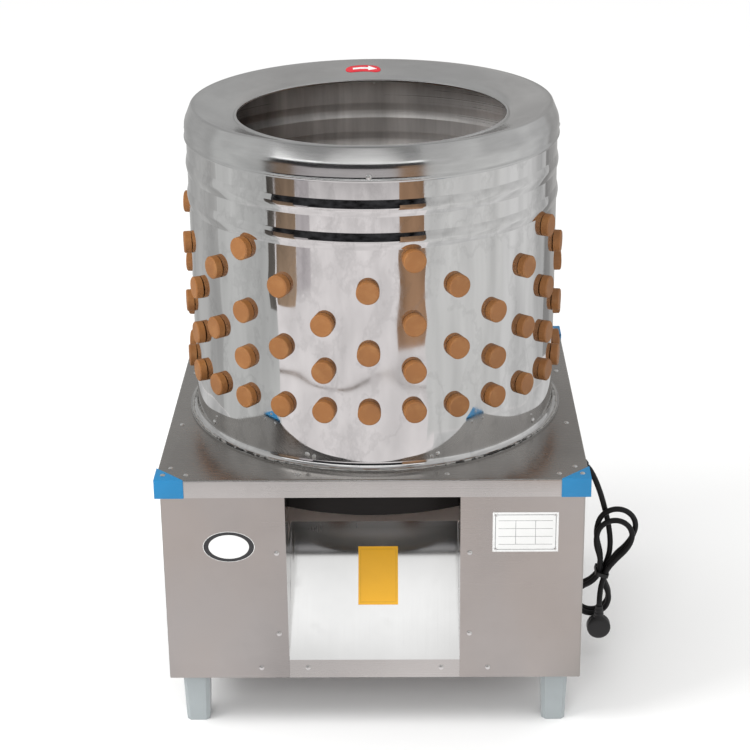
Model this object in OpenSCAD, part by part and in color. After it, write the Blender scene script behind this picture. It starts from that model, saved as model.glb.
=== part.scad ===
// Drum poultry plucker: a drum of rubber fingers with a turning disc, on a square sheet-metal cabinet
// Millimetres, Z up, origin on the floor under the drum's axis, front towards -Y

/* [Cabinet] */
// Room between the drum and the cabinet's outer face, on each side
side_room = 26.5; // [20:0.5:40]
// Room between the drum and the cabinet's outer face, at the front and the back
front_room = 26; // [20:0.5:40]
// Height of the cabinet's underside above the floor
cab_floor = 77; // [65:1:90]
// Height of the top plate's upper face above the floor
plate_z = 372; // [335:1:410]
// Thickness of the cabinet sheet
sheet = 1.2; // [0.8:0.1:2]
// Thickness of the top plate
plate_t = 1.5; // [1:0.1:3]
// How far the top plate stands past the body on each side
plate_lip = 5; // [3:0.5:10]
// Height of the top plate's turned-down edge
apron_h = 25; // [18:1:30]
// Length of a corner cap along each edge
cap_leg = 38; // [30:1:50]
// Thickness of a corner cap
cap_t = 1.5; // [1:0.1:3]
// Distance of the edge rivets from the plate's edge
rivet_inset = 17; // [14:0.5:22]
// Radius of a rivet head
rivet_r = 3.5; // [2:0.1:5]

/* [Frame] */
// Distance of each leg's centre line from the cabinet's outer faces
leg_inset = 33.5; // [32:0.5:38]
// Side of a square post
post_s = 40; // [36:1:44]
// Wall of a square post
post_t = 2; // [1.5:0.1:3]
// Height of the lower rails
low_rail_h = 25; // [18:1:26]
// Height of the upper rails
top_rail_h = 22; // [15:1:25]
// Width of a cross beam
beam_w = 25; // [20:1:30]
// Distance of each cross beam's centre line from the drum axis
beam_y = 55; // [50:1:65]

/* [Feet] */
// Width of a foot at its top
foot_top = 36; // [32:0.5:38]
// Width of a foot at the floor
foot_tip = 31; // [26:0.5:34]
// Height of the collar at the top of a foot
foot_collar = 5; // [3:0.5:8]
// Height of the plug that goes up into the post
foot_plug = 22; // [12:1:30]

/* [Outlet] */
// Width of the outlet between the front panels
chute_w = 229; // [200:1:235]
// Height of the outlet's lip above the lower rails
lip_over = 2; // [1:0.1:8]
// Depth of the feather pan below the top plate
pan_drop = 122; // [110:1:135]
// Thickness of the feather pan
pan_t = 1.5; // [1:0.1:2]
// Distance from the drum axis to the pan's front edge
pan_cut = 152; // [135:1:170]
// Height of the mouth over the pan
mouth_h = 56; // [40:1:65]
// Height of the panel screws' upper row below the top plate
screw_drop = 108; // [80:1:130]
// Height of the panel screws' middle row above the cabinet's underside
screw_mid = 67; // [50:1:90]
// Height of the lowest screws above the cabinet's underside
screw_low = 15; // [10:1:20]
// Distance of the panel screws from the outlet's edge
screw_side = 12.5; // [8:0.5:20]
// Height of the water guard round the shaft
guard_h = 33; // [25:1:36]
// Inside radius of the water guard
guard_r = 22; // [18:0.5:24]

/* [Drum] */
// Outside diameter of the drum
drum_d = 500; // [450:1:560]
// Thickness of the drum sheet
drum_wall = 1.2; // [0.8:0.1:2]
// Height of the drum's top edge above the top plate
drum_h = 408; // [365:1:455]
// Distance of the lower bead's crest below the drum's top edge
bead_low = 96; // [88:1:108]
// Distance of the upper bead's crest below the drum's top edge
bead_high = 53; // [45:1:58]
// Width of a bead
bead_w = 20; // [16:1:24]
// How far a bead stands out
bead_out = 2; // [1:0.1:4]
// How far the drum's foot flares out
foot_flare = 7; // [3:0.5:7]
// Height of that flare
flare_h = 9; // [6:0.5:9]
// Thickness of the collar that the drum stands on
collar_t = 1.4; // [1:0.1:2]
// Height of the collar inside the drum above the top plate
collar_up = 28; // [24:1:32]
// How far the collar's flange stands out past the drum
flange_out = 11; // [8:0.5:14]
// Thickness of the collar's flange
flange_t = 2; // [1.5:0.1:3]
// Count of screws round the foot of the drum
base_screws = 9; // [6:1:12]
// Height of those screws above the top plate
base_screw_h = 16; // [12:0.5:20]

/* [Rim] */
// Distance from the drum's wall in to the rim's opening
rim_in = 69; // [55:1:80]
// Height of the rim's crest above the drum's top edge
crest_up = 25; // [22:0.5:28]
// Distance from the drum's wall in to the rim's crest
crest_in = 10; // [9:0.5:11]
// How far the opening's edge lies below the crest
rim_dip = 18; // [10:1:24]
// Height from the rim's bend up to its crest
bend_drop = 23; // [20:0.5:26]
// Radius of the rim's crest
crest_bend = 4; // [2:0.5:6]
// Radius of the bend from the rim's slope to its skirt
skirt_bend = 5; // [2:0.5:8]
// Height of the rim's skirt below the crest
skirt_h = 42; // [36:1:48]
// Thickness of the rim sheet
rim_t = 1.2; // [0.8:0.1:2]
// Clearance of the skirt round the drum
rim_gap = 0.8; // [0.3:0.1:1]
// Radius of the rolled edge round the opening
roll_r = 2.5; // [1.5:0.1:3.5]
// Count of screws round the rim
rim_screws_n = 4; // [3:1:8]
// Width of the arrow plate along the rim, in degrees
arrow_deg = 13; // [8:0.5:20]
// Width of the arrow plate across the rim
arrow_w = 21; // [12:1:26]

/* [Fingers] */
// Count of even places for finger columns round the drum, the one at the seam left empty
columns = 27; // [25:2:29]
// Turn of the finger columns about the drum's axis, in degrees
column_turn = -0.65; // [-3:0.05:3]
// Height of the lowest finger row above the top plate
row_1 = 82; // [75:1:92]
// Distance of the top row below the lower bead's crest
row_top = 25.5; // [25:0.5:32]
// Place of the second row, as a share of the way from the lowest row to the top row
share_2 = 0.268; // [0.2:0.001:0.33]
// Place of the third row, as a share of the way
share_3 = 0.395; // [0.36:0.001:0.46]
// Place of the fourth row, as a share of the way
share_4 = 0.581; // [0.5:0.001:0.65]
// Place of the fifth row, as a share of the way
share_5 = 0.805; // [0.75:0.001:0.87]
// Diameter of a finger's head
head_d = 30; // [24:0.5:34]
// Thickness of a finger's head
head_t = 10; // [6:0.5:12]
// Diameter of a finger's neck
neck_d = 18; // [14:0.5:20]
// Length of a finger from the sheet to its tip
finger_len = 75; // [60:1:80]
// Diameter of a finger at its collar
finger_base_d = 25; // [22:0.5:28]
// Diameter of a finger at its tip
finger_tip_d = 13; // [10:0.5:16]
// Count of ribs on a finger
finger_ribs = 6; // [3:1:8]
// Clearance round a finger's neck
neck_gap = 0.3; // [0.1:0.1:0.6]

/* [Turntable] */
// Height of the disc's upper face above the pan
disc_up = 80; // [78:1:86]
// Thickness of the disc
disc_t = 3; // [2:0.5:5]
// Running gap between the disc and the collar
disc_gap = 7; // [5:0.5:12]
// Thickness of a sweeper blade
blade_t = 4; // [3:0.5:6]
// Running gap between a sweeper and the pan
blade_gap = 3; // [2:0.5:5]
// Length of a sweeper's welded foot
blade_foot = 30; // [20:1:40]
// Width of a sweeper's welded foot
blade_foot_w = 14; // [8:1:20]
// Distance from the hub's flange to the inner ring of disc fingers
ring_in_gap = 23; // [20:0.5:30]
// Distance from the disc's edge to the outer ring of disc fingers
ring_edge = 40; // [28:0.5:50]
// Diameter of the main shaft
shaft_d = 25; // [22:1:26]
// Diameter of the threaded end of the main shaft
thread_d = 20; // [16:1:20]
// Diameter of the hub's flange
hub_d = 124; // [116:1:130]
// Thickness of the hub's flange
hub_t = 10; // [8:0.5:14]
// Thickness of the skirt under the hub
skirt_t = 4; // [3:0.5:6]
// Gap between the skirt and the water guard
skirt_gap = 3; // [2:0.5:5]
// Distance of the hub bolts from the flange's edge
bolt_edge = 14; // [10:0.5:18]
// Running clearance round a shaft
run_gap = 0.05; // [0.02:0.01:0.09]

/* [Bearings] */
// Outside diameter of a bearing
bearing_d = 52; // [47:1:56]
// Width of a bearing
bearing_w = 15; // [12:1:17]
// Wall of the bearing housing round a bearing
housing_wall = 10; // [7:0.5:14]
// Gap between the housing and the driven pulley's boss
housing_gap = 4.5; // [3:0.5:8]
// Distance of the housing bolts from the middle, along the beams
housing_bolt_x = 45; // [40:1:55]
// Width of the housing's flange past its bolts
housing_edge = 9; // [8:0.5:14]
// Thickness of the housing's flange
housing_flange_t = 8; // [6:0.5:10]

/* [Drive] */
// Outside diameter of the driven pulley
driven_d = 250; // [230:1:260]
// Outside diameter of the motor pulley
driver_d = 66; // [56:1:72]
// Depth of the space between the pulleys' top faces and the pan
pulley_drop = 14; // [13:0.5:15]
// Width of a pulley's rim
pulley_w = 22; // [20:0.5:23]
// Width of the belt at its back
belt_w = 13; // [12:0.5:14]
// Thickness of the belt
belt_t = 8; // [6:0.5:9]
// Clearance between the belt and the groove's flanks
belt_gap = 0.4; // [0.3:0.05:0.6]
// Distance of the motor's axis from the cabinet's left face
motor_side = 116.5; // [105:0.5:128]
// Distance of the motor's axis from the cabinet's rear face
motor_back = 111; // [110:0.5:122]
// Diameter of the motor over its fins
motor_d = 140; // [130:1:144]
// Width of the motor's terminal box
terminal_w = 64; // [50:1:70]
// How far the terminal box stands out from the motor
terminal_out = 38; // [30:1:42]
// Height of the fan cover's floor above the ground
motor_ground = 28.5; // [20:0.5:40]
// Diameter of the motor shaft
motor_shaft_d = 14; // [12:1:16]
// Length of the fan cover
fan_cover_h = 34; // [30:1:38]
// Thickness of the motor bracket
bracket_t = 6; // [4:0.5:8]

/* [Switch] */
// Distance of the switch plate's centre below the top plate
switch_drop = 87; // [75:1:100]
// Distance of the switch plate's centre behind the drum axis
switch_y = 120; // [100:1:140]
// Width of the switch plate
switch_w = 60; // [54:1:70]
// Height of the switch plate
switch_h = 96; // [88:1:110]
// Thickness of the switch plate
switch_t = 2; // [1.5:0.1:3]
// Depth of the switch body behind the plate
switch_deep = 30; // [25:1:33]
// Width of the plate's edge round the switch body
switch_edge = 8; // [5:0.5:10]
// Distance of each button from the plate's centre
button_up = 22; // [18:0.5:26]
// Length of a button
button_len = 14; // [10:0.5:16]
// How far a button stands out at rest
button_out = 3.5; // [3:0.1:4]
// Diameter of a push button
button_d = 22; // [18:0.5:24]
// Travel of a push button
button_travel = 3; // [2:0.5:3.3]

/* [Labels] */
// Distance of the rating plate's centre below the top plate
rating_drop = 78; // [65:1:95]
// Distance of the oval badge's centre below the top plate
badge_drop = 98; // [80:1:115]
// Width of the oval badge
badge_w = 68; // [50:1:80]
// Height of the oval badge
badge_h = 44; // [30:1:55]
// Width of the blank rating plate
rating_w = 86; // [60:1:100]
// Height of the blank rating plate
rating_h = 57; // [40:1:70]
// Width of the blank label on the outlet floor
label_w = 54; // [40:1:70]
// Length of the blank label down the outlet floor
label_h = 81; // [60:1:90]

/* [Cord] */
// Diameter of the mains cord
cord_d = 8; // [7:0.5:8.5]
// Half the distance between the runs at the hank's waist
waist_half = 4.2; // [4:0.1:5]
// Depth taken by each further loop of the hank
loop_step = 9.2; // [9:0.1:10]
// Lean of the hank from upright, in degrees
hank_lean = 16; // [0:1:20]

/* [Hidden] */
$fn = 64;
eps = 0.01;

// Cabinet values
drum_r = drum_d / 2;
half_w = drum_r + side_room;
half_d = drum_r + front_room;
cab_w = 2 * half_w;
cab_d = 2 * half_d;
plate_hx = half_w + plate_lip;
plate_hy = half_d + plate_lip;
plate_under = plate_z - plate_t;
leg_x = half_w - leg_inset;
leg_y = half_d - leg_inset;
rail_t = leg_inset - sheet - post_s / 2;
rail_in_x = half_w - sheet - rail_t;
low_rail_top = cab_floor + low_rail_h;
top_rail_low = plate_under - top_rail_h;

// Outlet values
pan_z = plate_z - pan_drop;
lip_z = low_rail_top + lip_over;
chute_rise = (pan_z - lip_z) / (half_d - pan_cut);
floor_drop = 2.2;
chute_gap = 0.2;
mouth_top = pan_z + mouth_h;

// Drum values
collar_gap = 0.2;
collar_or = drum_r - drum_wall - collar_gap;
collar_ir = collar_or - collar_t;
drum_low = plate_z + flange_t;
drum_top = plate_z + drum_h;
bead_z = [drum_top - bead_low, drum_top - bead_high];
flange_r = drum_r + flange_out;
crest_z = drum_top + crest_up;
crest_r = drum_r - crest_in;
mouth_r = drum_r - rim_in;
skirt_ir = drum_r + rim_gap;
skirt_or = skirt_ir + rim_t;
rim_screw_z = crest_z - skirt_h + 5;
screw_r = 3.6;
screw_h = 2;
shank_r = 2;

// Turntable values
shaft_r = shaft_d / 2;
disc_r = collar_ir - disc_gap;
disc_z = pan_z + disc_up;
disc_low = disc_z - disc_t;
hub_low = disc_low - hub_t;
fit_r = shaft_r + run_gap;
bolt_ring = hub_d / 2 - bolt_edge;
bolt_r = 4;
ring_in = hub_d / 2 + ring_in_gap;
ring_out = disc_r - ring_edge;
blade_turn = [90, 210, 330];

// Bearing and drive values
pulley_top = pan_z - pan_t - pulley_drop;
pulley_low = pulley_top - pulley_w;
pulley_mid = (pulley_top + pulley_low) / 2;
boss_extra = 3;
housing_low = cab_floor + 3;
housing_top = pulley_low - boss_extra - housing_gap;
housing_r = bearing_d / 2 + housing_wall;
seat_lip = 3;
motor_x = half_w - motor_side;
motor_y = half_d - motor_back;
driven_r = driven_d / 2;
driver_r = driver_d / 2;
groove_lean = 4 / 13;
groove_deep = belt_t + 4;
centre_gap = norm([motor_x, motor_y]);
belt_turn = acos((driven_r - driver_r) / centre_gap);
belt_run = sqrt(pow(centre_gap, 2) - pow(driven_r - driver_r, 2));
motor_dir = atan2(motor_y, -motor_x);
bracket_z = pulley_low - 16;
motor_top = bracket_z - bracket_t;
motor_low = motor_ground + fan_cover_h;
motor_len = motor_top - motor_low;
motor_r = motor_d / 2;
motor_bolt_ring = motor_r - 10;
motor_fit_r = motor_shaft_d / 2 + run_gap;

// Wall of the right shell, where the switch and the cord are
wall_x = half_w;
switch_z = plate_z - switch_drop;
panel_mid = (chute_w / 2 + half_w) / 2;

// Small shared shapes

module tube_z(outer, inner, low, high) {
  difference() {
    translate([0, 0, low]) cylinder(r = outer, h = high - low);
    translate([0, 0, low - 1]) cylinder(r = inner, h = high - low + 2);
  }
}

module box(low, high) {
  translate(low) cube(high - low);
}

// A round-headed rivet or screw standing on the plane z = 0, with its head up
module dome_head(r, h) {
  rotate_extrude() polygon(concat([[0, 0]], [for (i = [0 : 5]) [r * cos(18 * i), h * sin(18 * i)]]));
}

module hex_bolt(r, head_h, shank) {
  cylinder(r = 2 * r, h = head_h, $fn = 6);
  translate([0, 0, -shank]) cylinder(r = r, h = shank + eps);
}

// Frame and feet

module frame_posts() {
  color("silver") for (sx = [-1, 1], sy = [-1, 1])
    translate([sx * leg_x, sy * leg_y, cab_floor]) difference() {
      translate([-post_s / 2, -post_s / 2, 0]) cube([post_s, post_s, plate_under - cab_floor]);
      translate([-post_s / 2 + post_t, -post_s / 2 + post_t, -1])
        cube([post_s - 2 * post_t, post_s - 2 * post_t, plate_under - cab_floor + 2]);
    }
}

// A ring of four rails against the inside of the panels, the front and rear ones full width
module rail_ring(low, high) {
  for (s = [-1, 1]) {
    translate([-half_w + sheet, s * (half_d - sheet - rail_t / 2) - rail_t / 2, low])
      cube([cab_w - 2 * sheet, rail_t, high - low]);
    translate([s * (half_w - sheet - rail_t / 2) - rail_t / 2, -half_d + sheet + rail_t, low])
      cube([rail_t, cab_d - 2 * (sheet + rail_t), high - low]);
  }
}

module lower_rails() {
  color("silver") rail_ring(cab_floor, low_rail_top);
}

module upper_rails() {
  color("silver") rail_ring(top_rail_low, plate_under);
}

module cross_beams() {
  color("silver") for (s = [-1, 1])
    translate([-rail_in_x, s * beam_y - beam_w / 2, cab_floor]) cube([2 * rail_in_x, beam_w, low_rail_h]);
}

// Side profile of a foot's taper, carried across its width
module foot_taper(top, tip, wide) {
  rotate([90, 0, 0]) translate([0, 0, -wide / 2]) linear_extrude(wide)
    polygon([[-tip / 2, 0], [tip / 2, 0], [top / 2, cab_floor - foot_collar],
      [-top / 2, cab_floor - foot_collar]]);
}

module foot() {
  diagonal = 1.2;
  plug_s = post_s - 2 * post_t - 0.4;
  collar_s = min(foot_top + 2, post_s);
  intersection() {
    foot_taper(foot_top, foot_tip, post_s);
    rotate(90) foot_taper(foot_top, foot_tip, post_s);
    rotate(45) foot_taper(diagonal * foot_top, diagonal * foot_tip, 2 * post_s);
    rotate(-45) foot_taper(diagonal * foot_top, diagonal * foot_tip, 2 * post_s);
  }
  translate([-collar_s / 2, -collar_s / 2, cab_floor - foot_collar]) cube([collar_s, collar_s, foot_collar]);
  translate([-plug_s / 2, -plug_s / 2, cab_floor]) cube([plug_s, plug_s, foot_plug]);
}

module feet() {
  color([0.68, 0.72, 0.73]) for (sx = [-1, 1], sy = [-1, 1]) translate([sx * leg_x, sy * leg_y, 0]) foot();
}

// Cabinet sheets

module top_plate() {
  color([0.45, 0.43, 0.41]) difference() {
    box([-plate_hx, -plate_hy, plate_z - apron_h], [plate_hx, plate_hy, plate_z]);
    box([-plate_hx + plate_t, -plate_hy + plate_t, plate_z - apron_h - 1],
      [plate_hx - plate_t, plate_hy - plate_t, plate_under]);
    translate([0, 0, plate_under - 1]) cylinder(r = collar_or + collar_gap, h = plate_t + 2, $fn = 128);
  }
}

// One cap: a triangle on the plate and a wall on each side of the corner
module corner_cap() {
  out_x = plate_hx + cap_t;
  out_y = plate_hy + cap_t;
  translate([0, 0, plate_z]) linear_extrude(cap_t)
    polygon([[out_x, out_y], [out_x - cap_leg, out_y], [out_x, out_y - cap_leg]]);
  box([out_x - cap_leg, plate_hy, plate_z - apron_h], [out_x, out_y, plate_z + eps]);
  box([plate_hx, out_y - cap_leg, plate_z - apron_h], [out_x, out_y, plate_z + eps]);
}

module corner_caps() {
  color([0.24, 0.58, 0.81]) for (i = [0 : 1]) rotate(180 * i) {
    corner_cap();
    mirror([1, 0, 0]) corner_cap();
  }
}

module top_plate_rivets() {
  edge_x = plate_hx - rivet_inset;
  edge_y = plate_hy - rivet_inset;
  color("gainsboro") {
    for (s = [-1, 1], p = [-1, -0.4, 0.4, 1]) {
      translate([p * (edge_x - 22), s * edge_y, plate_z]) dome_head(rivet_r, 1.6);
      translate([s * edge_x, p * (edge_y - 22), plate_z]) dome_head(rivet_r, 1.6);
    }
    for (sx = [-1, 1], sy = [-1, 1])
      translate([sx * (plate_hx - 9), sy * (plate_hy - 14), plate_z + cap_t]) dome_head(rivet_r, 1.6);
  }
}

// Side sheet with the front panel turned round its corner
module side_shell() {
  translate([0, 0, cab_floor]) linear_extrude(plate_under - cab_floor) {
    translate([half_w - sheet, -half_d]) square([sheet, cab_d]);
    translate([chute_w / 2, -half_d]) square([half_w - chute_w / 2, sheet]);
  }
}

module left_shell() {
  color([0.7, 0.68, 0.66]) mirror([1, 0, 0]) side_shell();
}

module right_shell() {
  color([0.7, 0.68, 0.66]) difference() {
    side_shell();
    translate([wall_x - sheet - 1, gland_y, gland_z]) rotate([0, 90, 0])
      cylinder(r = gland_shank_r + 0.2, h = sheet + 2);
    switch_core(0.2, sheet + 1);
  }
}

module rear_panel() {
  side_gap = 0.2;
  color([0.7, 0.68, 0.66]) box([-half_w + sheet + side_gap, half_d - sheet, cab_floor],
    [half_w - sheet - side_gap, half_d, plate_under]);
}

module panel_screws() {
  panel_x = chute_w / 2 + screw_side;
  low_z = cab_floor + screw_low;
  front = [[panel_x, plate_z - screw_drop], [panel_x, cab_floor + screw_mid],
    [panel_x + 2 * screw_side, low_z], [chute_w / 2 - 2 * screw_side, low_z]];
  rear = [[half_w - leg_inset / 2, low_z], [half_w - leg_inset / 2, plate_z - screw_drop], [0, low_z]];
  color("gainsboro") {
    for (p = front, s = [-1, 1])
      translate([s * p[0], -half_d, p[1]]) rotate([90, 0, 0]) dome_head(screw_r, screw_h);
    for (p = rear, s = [-1, 1]) if (p[0] > 0 || s > 0)
      translate([s * p[0], half_d, p[1]]) rotate([-90, 0, 0]) dome_head(screw_r, screw_h);
  }
}

// Feather outlet

function chute_z(y) = lip_z + chute_rise * (y + half_d);

module across_x(width) {
  translate([-width / 2, 0, 0]) rotate([90, 0, 90]) linear_extrude(width) children();
}

module chute_floor() {
  back = -half_d + sheet;
  color([0.86, 0.86, 0.86]) across_x(chute_w - 2 * chute_gap)
    polygon([[-half_d, cab_floor], [-half_d, lip_z], [-pan_cut, pan_z], [-pan_cut, pan_z - floor_drop],
      [back, chute_z(back) - floor_drop], [back, cab_floor]]);
}

module chute_walls() {
  front = -half_d + sheet;
  notch = -sqrt(pow(collar_or, 2) - pow(chute_w / 2, 2)) - 2;
  under = 6;
  color([0.75, 0.75, 0.74]) for (s = [-1, 1]) translate([s * (chute_w + sheet) / 2, 0, 0]) across_x(sheet)
    polygon([[front, low_rail_top], [front, top_rail_low], [notch, top_rail_low],
      [notch, pan_z - pan_t], [-pan_cut, pan_z - pan_t], [-pan_cut, pan_z - pan_t - under],
      [front + rail_t, chute_z(front + rail_t) - under], [front + rail_t, low_rail_top]]);
}

module feather_pan() {
  outlet = chute_w + 2 * sheet;
  color([0.6, 0.59, 0.58]) {
    difference() {
      translate([0, 0, pan_z - pan_t]) cylinder(r = collar_or, h = pan_t, $fn = 128);
      box([-outlet / 2, -drum_r, pan_z - pan_t - 1], [outlet / 2, -pan_cut, pan_z + 1]);
      translate([0, 0, pan_z - pan_t - 1]) cylinder(r = guard_r, h = pan_t + 2);
    }
    tube_z(guard_r + sheet, guard_r, pan_z - pan_t, pan_z + guard_h);
  }
}

// Plain plates and labels

module front_plate(x, z, w, h, t) {
  translate([x - w / 2, -half_d - t, z - h / 2]) cube([w, t, h]);
}

rating_x = panel_mid + 4;
rating_z = plate_z - rating_drop;
rating_t = 0.8;

module rating_plate() {
  color("gainsboro") front_plate(rating_x, rating_z, rating_w, rating_h, rating_t);
}

module rating_rivets() {
  color("silver") for (sx = [-1, 1], sz = [-1, 1])
    translate([rating_x + sx * (rating_w / 2 - 4), -half_d - rating_t, rating_z + sz * (rating_h / 2 - 4)])
      rotate([90, 0, 0]) dome_head(1.8, 1);
}

module blank_label() {
  label_t = 0.4;
  slope = atan(chute_rise);
  top_y = -pan_cut - 23;
  label_x = 5;
  color([0.9, 0.68, 0.2]) translate([label_x, top_y, chute_z(top_y)]) rotate([slope, 0, 0])
    translate([-label_w / 2, -label_h, 0]) cube([label_w, label_h, label_t]);
}

// Oval ring on the left front panel
module oval_badge() {
  color("white") translate([6 - panel_mid, -half_d, plate_z - badge_drop]) rotate([90, 0, 0]) linear_extrude(0.4)
    polygon([for (i = [0 : 47]) [badge_w / 2 * cos(7.5 * i), badge_h / 2 * sin(7.5 * i)]]);
}

// Drum

// Bead outline: a raised cosine, from below to above its crest
function bead(r, crest) = [for (i = [0 : 10])
  [r + bead_out * (1 - cos(36 * i)) / 2, crest - bead_w / 2 + bead_w * i / 10]];

// Flare at the foot: a quarter of an ellipse
function flare(r) = [for (i = [0 : 6])
  [r + foot_flare * (1 - sin(15 * i)), drum_low + flare_h * (1 - cos(15 * i))]];

function drum_side(r) = concat(flare(r), bead(r, bead_z[0]), bead(r, bead_z[1]), [[r, drum_top]]);

function backwards(list) = [for (i = [len(list) - 1 : -1 : 0]) list[i]];

row_low_z = plate_z + row_1;
row_top_z = bead_z[0] - row_top;
row_z = [for (share = [0, share_2, share_3, share_4, share_5, 1])
  row_low_z + share * (row_top_z - row_low_z)];
column_half = (columns - 1) / 2;

// Whether the row has a finger in column k, counted from the front
function has_finger(row, k) = row == 0 ? true
  : row == 5 ? (k + 4 * columns - 1) % 4 == 0
  : (row == 1 || row == 3) ? abs(k) % 2 == 1 : abs(k) % 2 == 0;

function finger_turns(row) = [for (k = [-column_half : column_half - 1])
  if (has_finger(row, k)) k * 360 / columns + column_turn];

// Radial places on the drum: the child's z axis points outwards
module on_drum(turn, r, z) {
  rotate(turn) translate([0, -r, z]) rotate([90, 0, 0]) children();
}

module drum_shell() {
  color([0.78, 0.78, 0.77]) difference() {
    rotate_extrude($fn = 128) polygon(concat(drum_side(drum_r), backwards(drum_side(drum_r - drum_wall))));
    for (row = [0 : 5], turn = finger_turns(row))
      on_drum(turn, drum_r - 6, row_z[row]) cylinder(r = neck_d / 2 + neck_gap, h = 12);
    for (turn = base_screw_turns())
      on_drum(turn, drum_r - 6, plate_z + base_screw_h) cylinder(r = shank_r + 0.2, h = 12);
    for (turn = rim_screw_turns())
      on_drum(turn, drum_r - 6, rim_screw_z) cylinder(r = shank_r + 0.2, h = 12);
  }
}

function base_screw_turns() = [for (i = [0 : base_screws - 1]) (i + 0.5) * 360 / base_screws];
function rim_screw_turns() = [for (i = [0 : rim_screws_n - 1]) i * 360 / rim_screws_n];

// Collar inside the drum's foot, down to the pan, with a flange on the top plate and the outlet's mouth
module drum_collar() {
  color([0.72, 0.71, 0.7]) difference() {
    rotate_extrude($fn = 128) polygon([[collar_ir, pan_z], [collar_or, pan_z], [collar_or, plate_z],
      [flange_r, plate_z], [flange_r, plate_z + flange_t], [collar_or, plate_z + flange_t],
      [collar_or, plate_z + collar_up], [collar_ir, plate_z + collar_up]]);
    box([-chute_w / 2, -drum_r, pan_z - 1], [chute_w / 2, -pan_cut, mouth_top]);
    for (turn = base_screw_turns())
      on_drum(turn, drum_r - 8, plate_z + base_screw_h) cylinder(r = shank_r + 0.2, h = 12);
  }
}

module drum_screws() {
  color("gainsboro") {
    for (turn = base_screw_turns()) on_drum(turn, drum_r, plate_z + base_screw_h) round_screw(screw_h + 2);
    for (turn = rim_screw_turns()) on_drum(turn, skirt_or, rim_screw_z) round_screw(screw_h + 2);
  }
}

// A screw with its head on the plane z = 0 and its shank below
module round_screw(shank) {
  dome_head(screw_r, screw_h);
  translate([0, 0, -shank]) cylinder(r = shank_r, h = shank + eps);
}

// Rim: a skirt, a round shoulder, a crest and a dished top with a rolled inner edge
// Rim outline from the skirt up: an arc round the bend, a straight slope and an arc over the crest
bend_c = [skirt_or - skirt_bend, crest_z - bend_drop];
crest_c = [crest_r, crest_z - crest_bend];
slope_way = crest_c - bend_c;
rim_slope = atan2(-slope_way[0], slope_way[1]) + asin((skirt_bend - crest_bend) / norm(slope_way));
function shoulder(inset) = concat(
  [for (i = [0 : 4]) bend_c + (skirt_bend - inset) * [cos(rim_slope * i / 4), sin(rim_slope * i / 4)]],
  [for (i = [0 : 5]) let (turn = rim_slope + (99 - rim_slope) * i / 5)
    crest_c + (crest_bend - inset) * [cos(turn), sin(turn)]]);
roll_c = [mouth_r + roll_r, crest_z - rim_dip];
dish_from = crest_c + crest_bend * [cos(99), sin(99)];

module rim_cover() {
  low = crest_z - skirt_h;
  outer = concat([[skirt_or, low]], shoulder(0), [roll_c + [0, rim_t / 2]]);
  inner = concat([[skirt_ir, low]], shoulder(rim_t), [roll_c - [0, rim_t / 2]]);
  color([0.65, 0.65, 0.65]) difference() {
    union() {
      rotate_extrude($fn = 128) polygon(concat(outer, backwards(inner)));
      rotate_extrude($fn = 128) translate(roll_c) circle(r = roll_r, $fn = 24);
    }
    for (turn = rim_screw_turns())
      on_drum(turn, drum_r - 6, rim_screw_z) cylinder(r = shank_r + 0.2, h = 14);
  }
}

// Height of the dished top at a radius
rim_rise = (dish_from[1] - roll_c[1] - rim_t / 2) / (dish_from[0] - roll_c[0]);
function dish_z(r) = dish_from[1] - (dish_from[0] - r) * rim_rise;

// A band of the dished top, from radius r1 to r2, raised from height a to height b above it
module dish_band(r1, r2, a, b) {
  rotate_extrude($fn = 128) polygon([[r1, dish_z(r1) + a], [r2, dish_z(r2) + a], [r2, dish_z(r2) + b],
    [r1, dish_z(r1) + b]]);
}

arrow_r = (crest_r + mouth_r) / 2 + 2.5;
arrow_turn = 94;
arrow_t = 0.4;
print_gap = 0.05;

// Upright prism over a stretch of the rim, with round ends
module arc_pill(turn, w, low, high) {
  translate([0, 0, low]) {
    rotate(arrow_turn - turn / 2) rotate_extrude(angle = turn, $fn = 128)
      translate([arrow_r - w / 2, 0]) square([w, high - low]);
    for (s = [-1, 1]) rotate(arrow_turn + s * turn / 2) translate([arrow_r, 0, 0])
      cylinder(r = w / 2, h = high - low);
  }
}

module arrow_plate() {
  color([0.8, 0.12, 0.2]) intersection() {
    dish_band(arrow_r - arrow_w / 2, arrow_r + arrow_w / 2, print_gap, arrow_t);
    arc_pill(arrow_deg - 5, arrow_w, crest_z - 40, crest_z + 5);
  }
}

// White arrow pointing the way the disc turns
module arrow_mark() {
  color("white") intersection() {
    dish_band(arrow_r - arrow_w / 2, arrow_r + arrow_w / 2, arrow_t + print_gap, 2 * arrow_t);
    union() {
      rotate(arrow_turn - arrow_deg / 4) translate([0, 0, crest_z - 40])
        rotate_extrude(angle = arrow_deg / 2, $fn = 128)
          translate([arrow_r - arrow_w / 8, 0]) square([arrow_w / 4, 45]);
      rotate(arrow_turn - arrow_deg / 4) translate([arrow_r, 0, crest_z - 40]) linear_extrude(45)
        polygon([[-arrow_w / 3, arrow_w / 12], [arrow_w / 3, arrow_w / 12], [0, -arrow_w / 2]]);
    }
  }
}

// Rubber fingers

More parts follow.
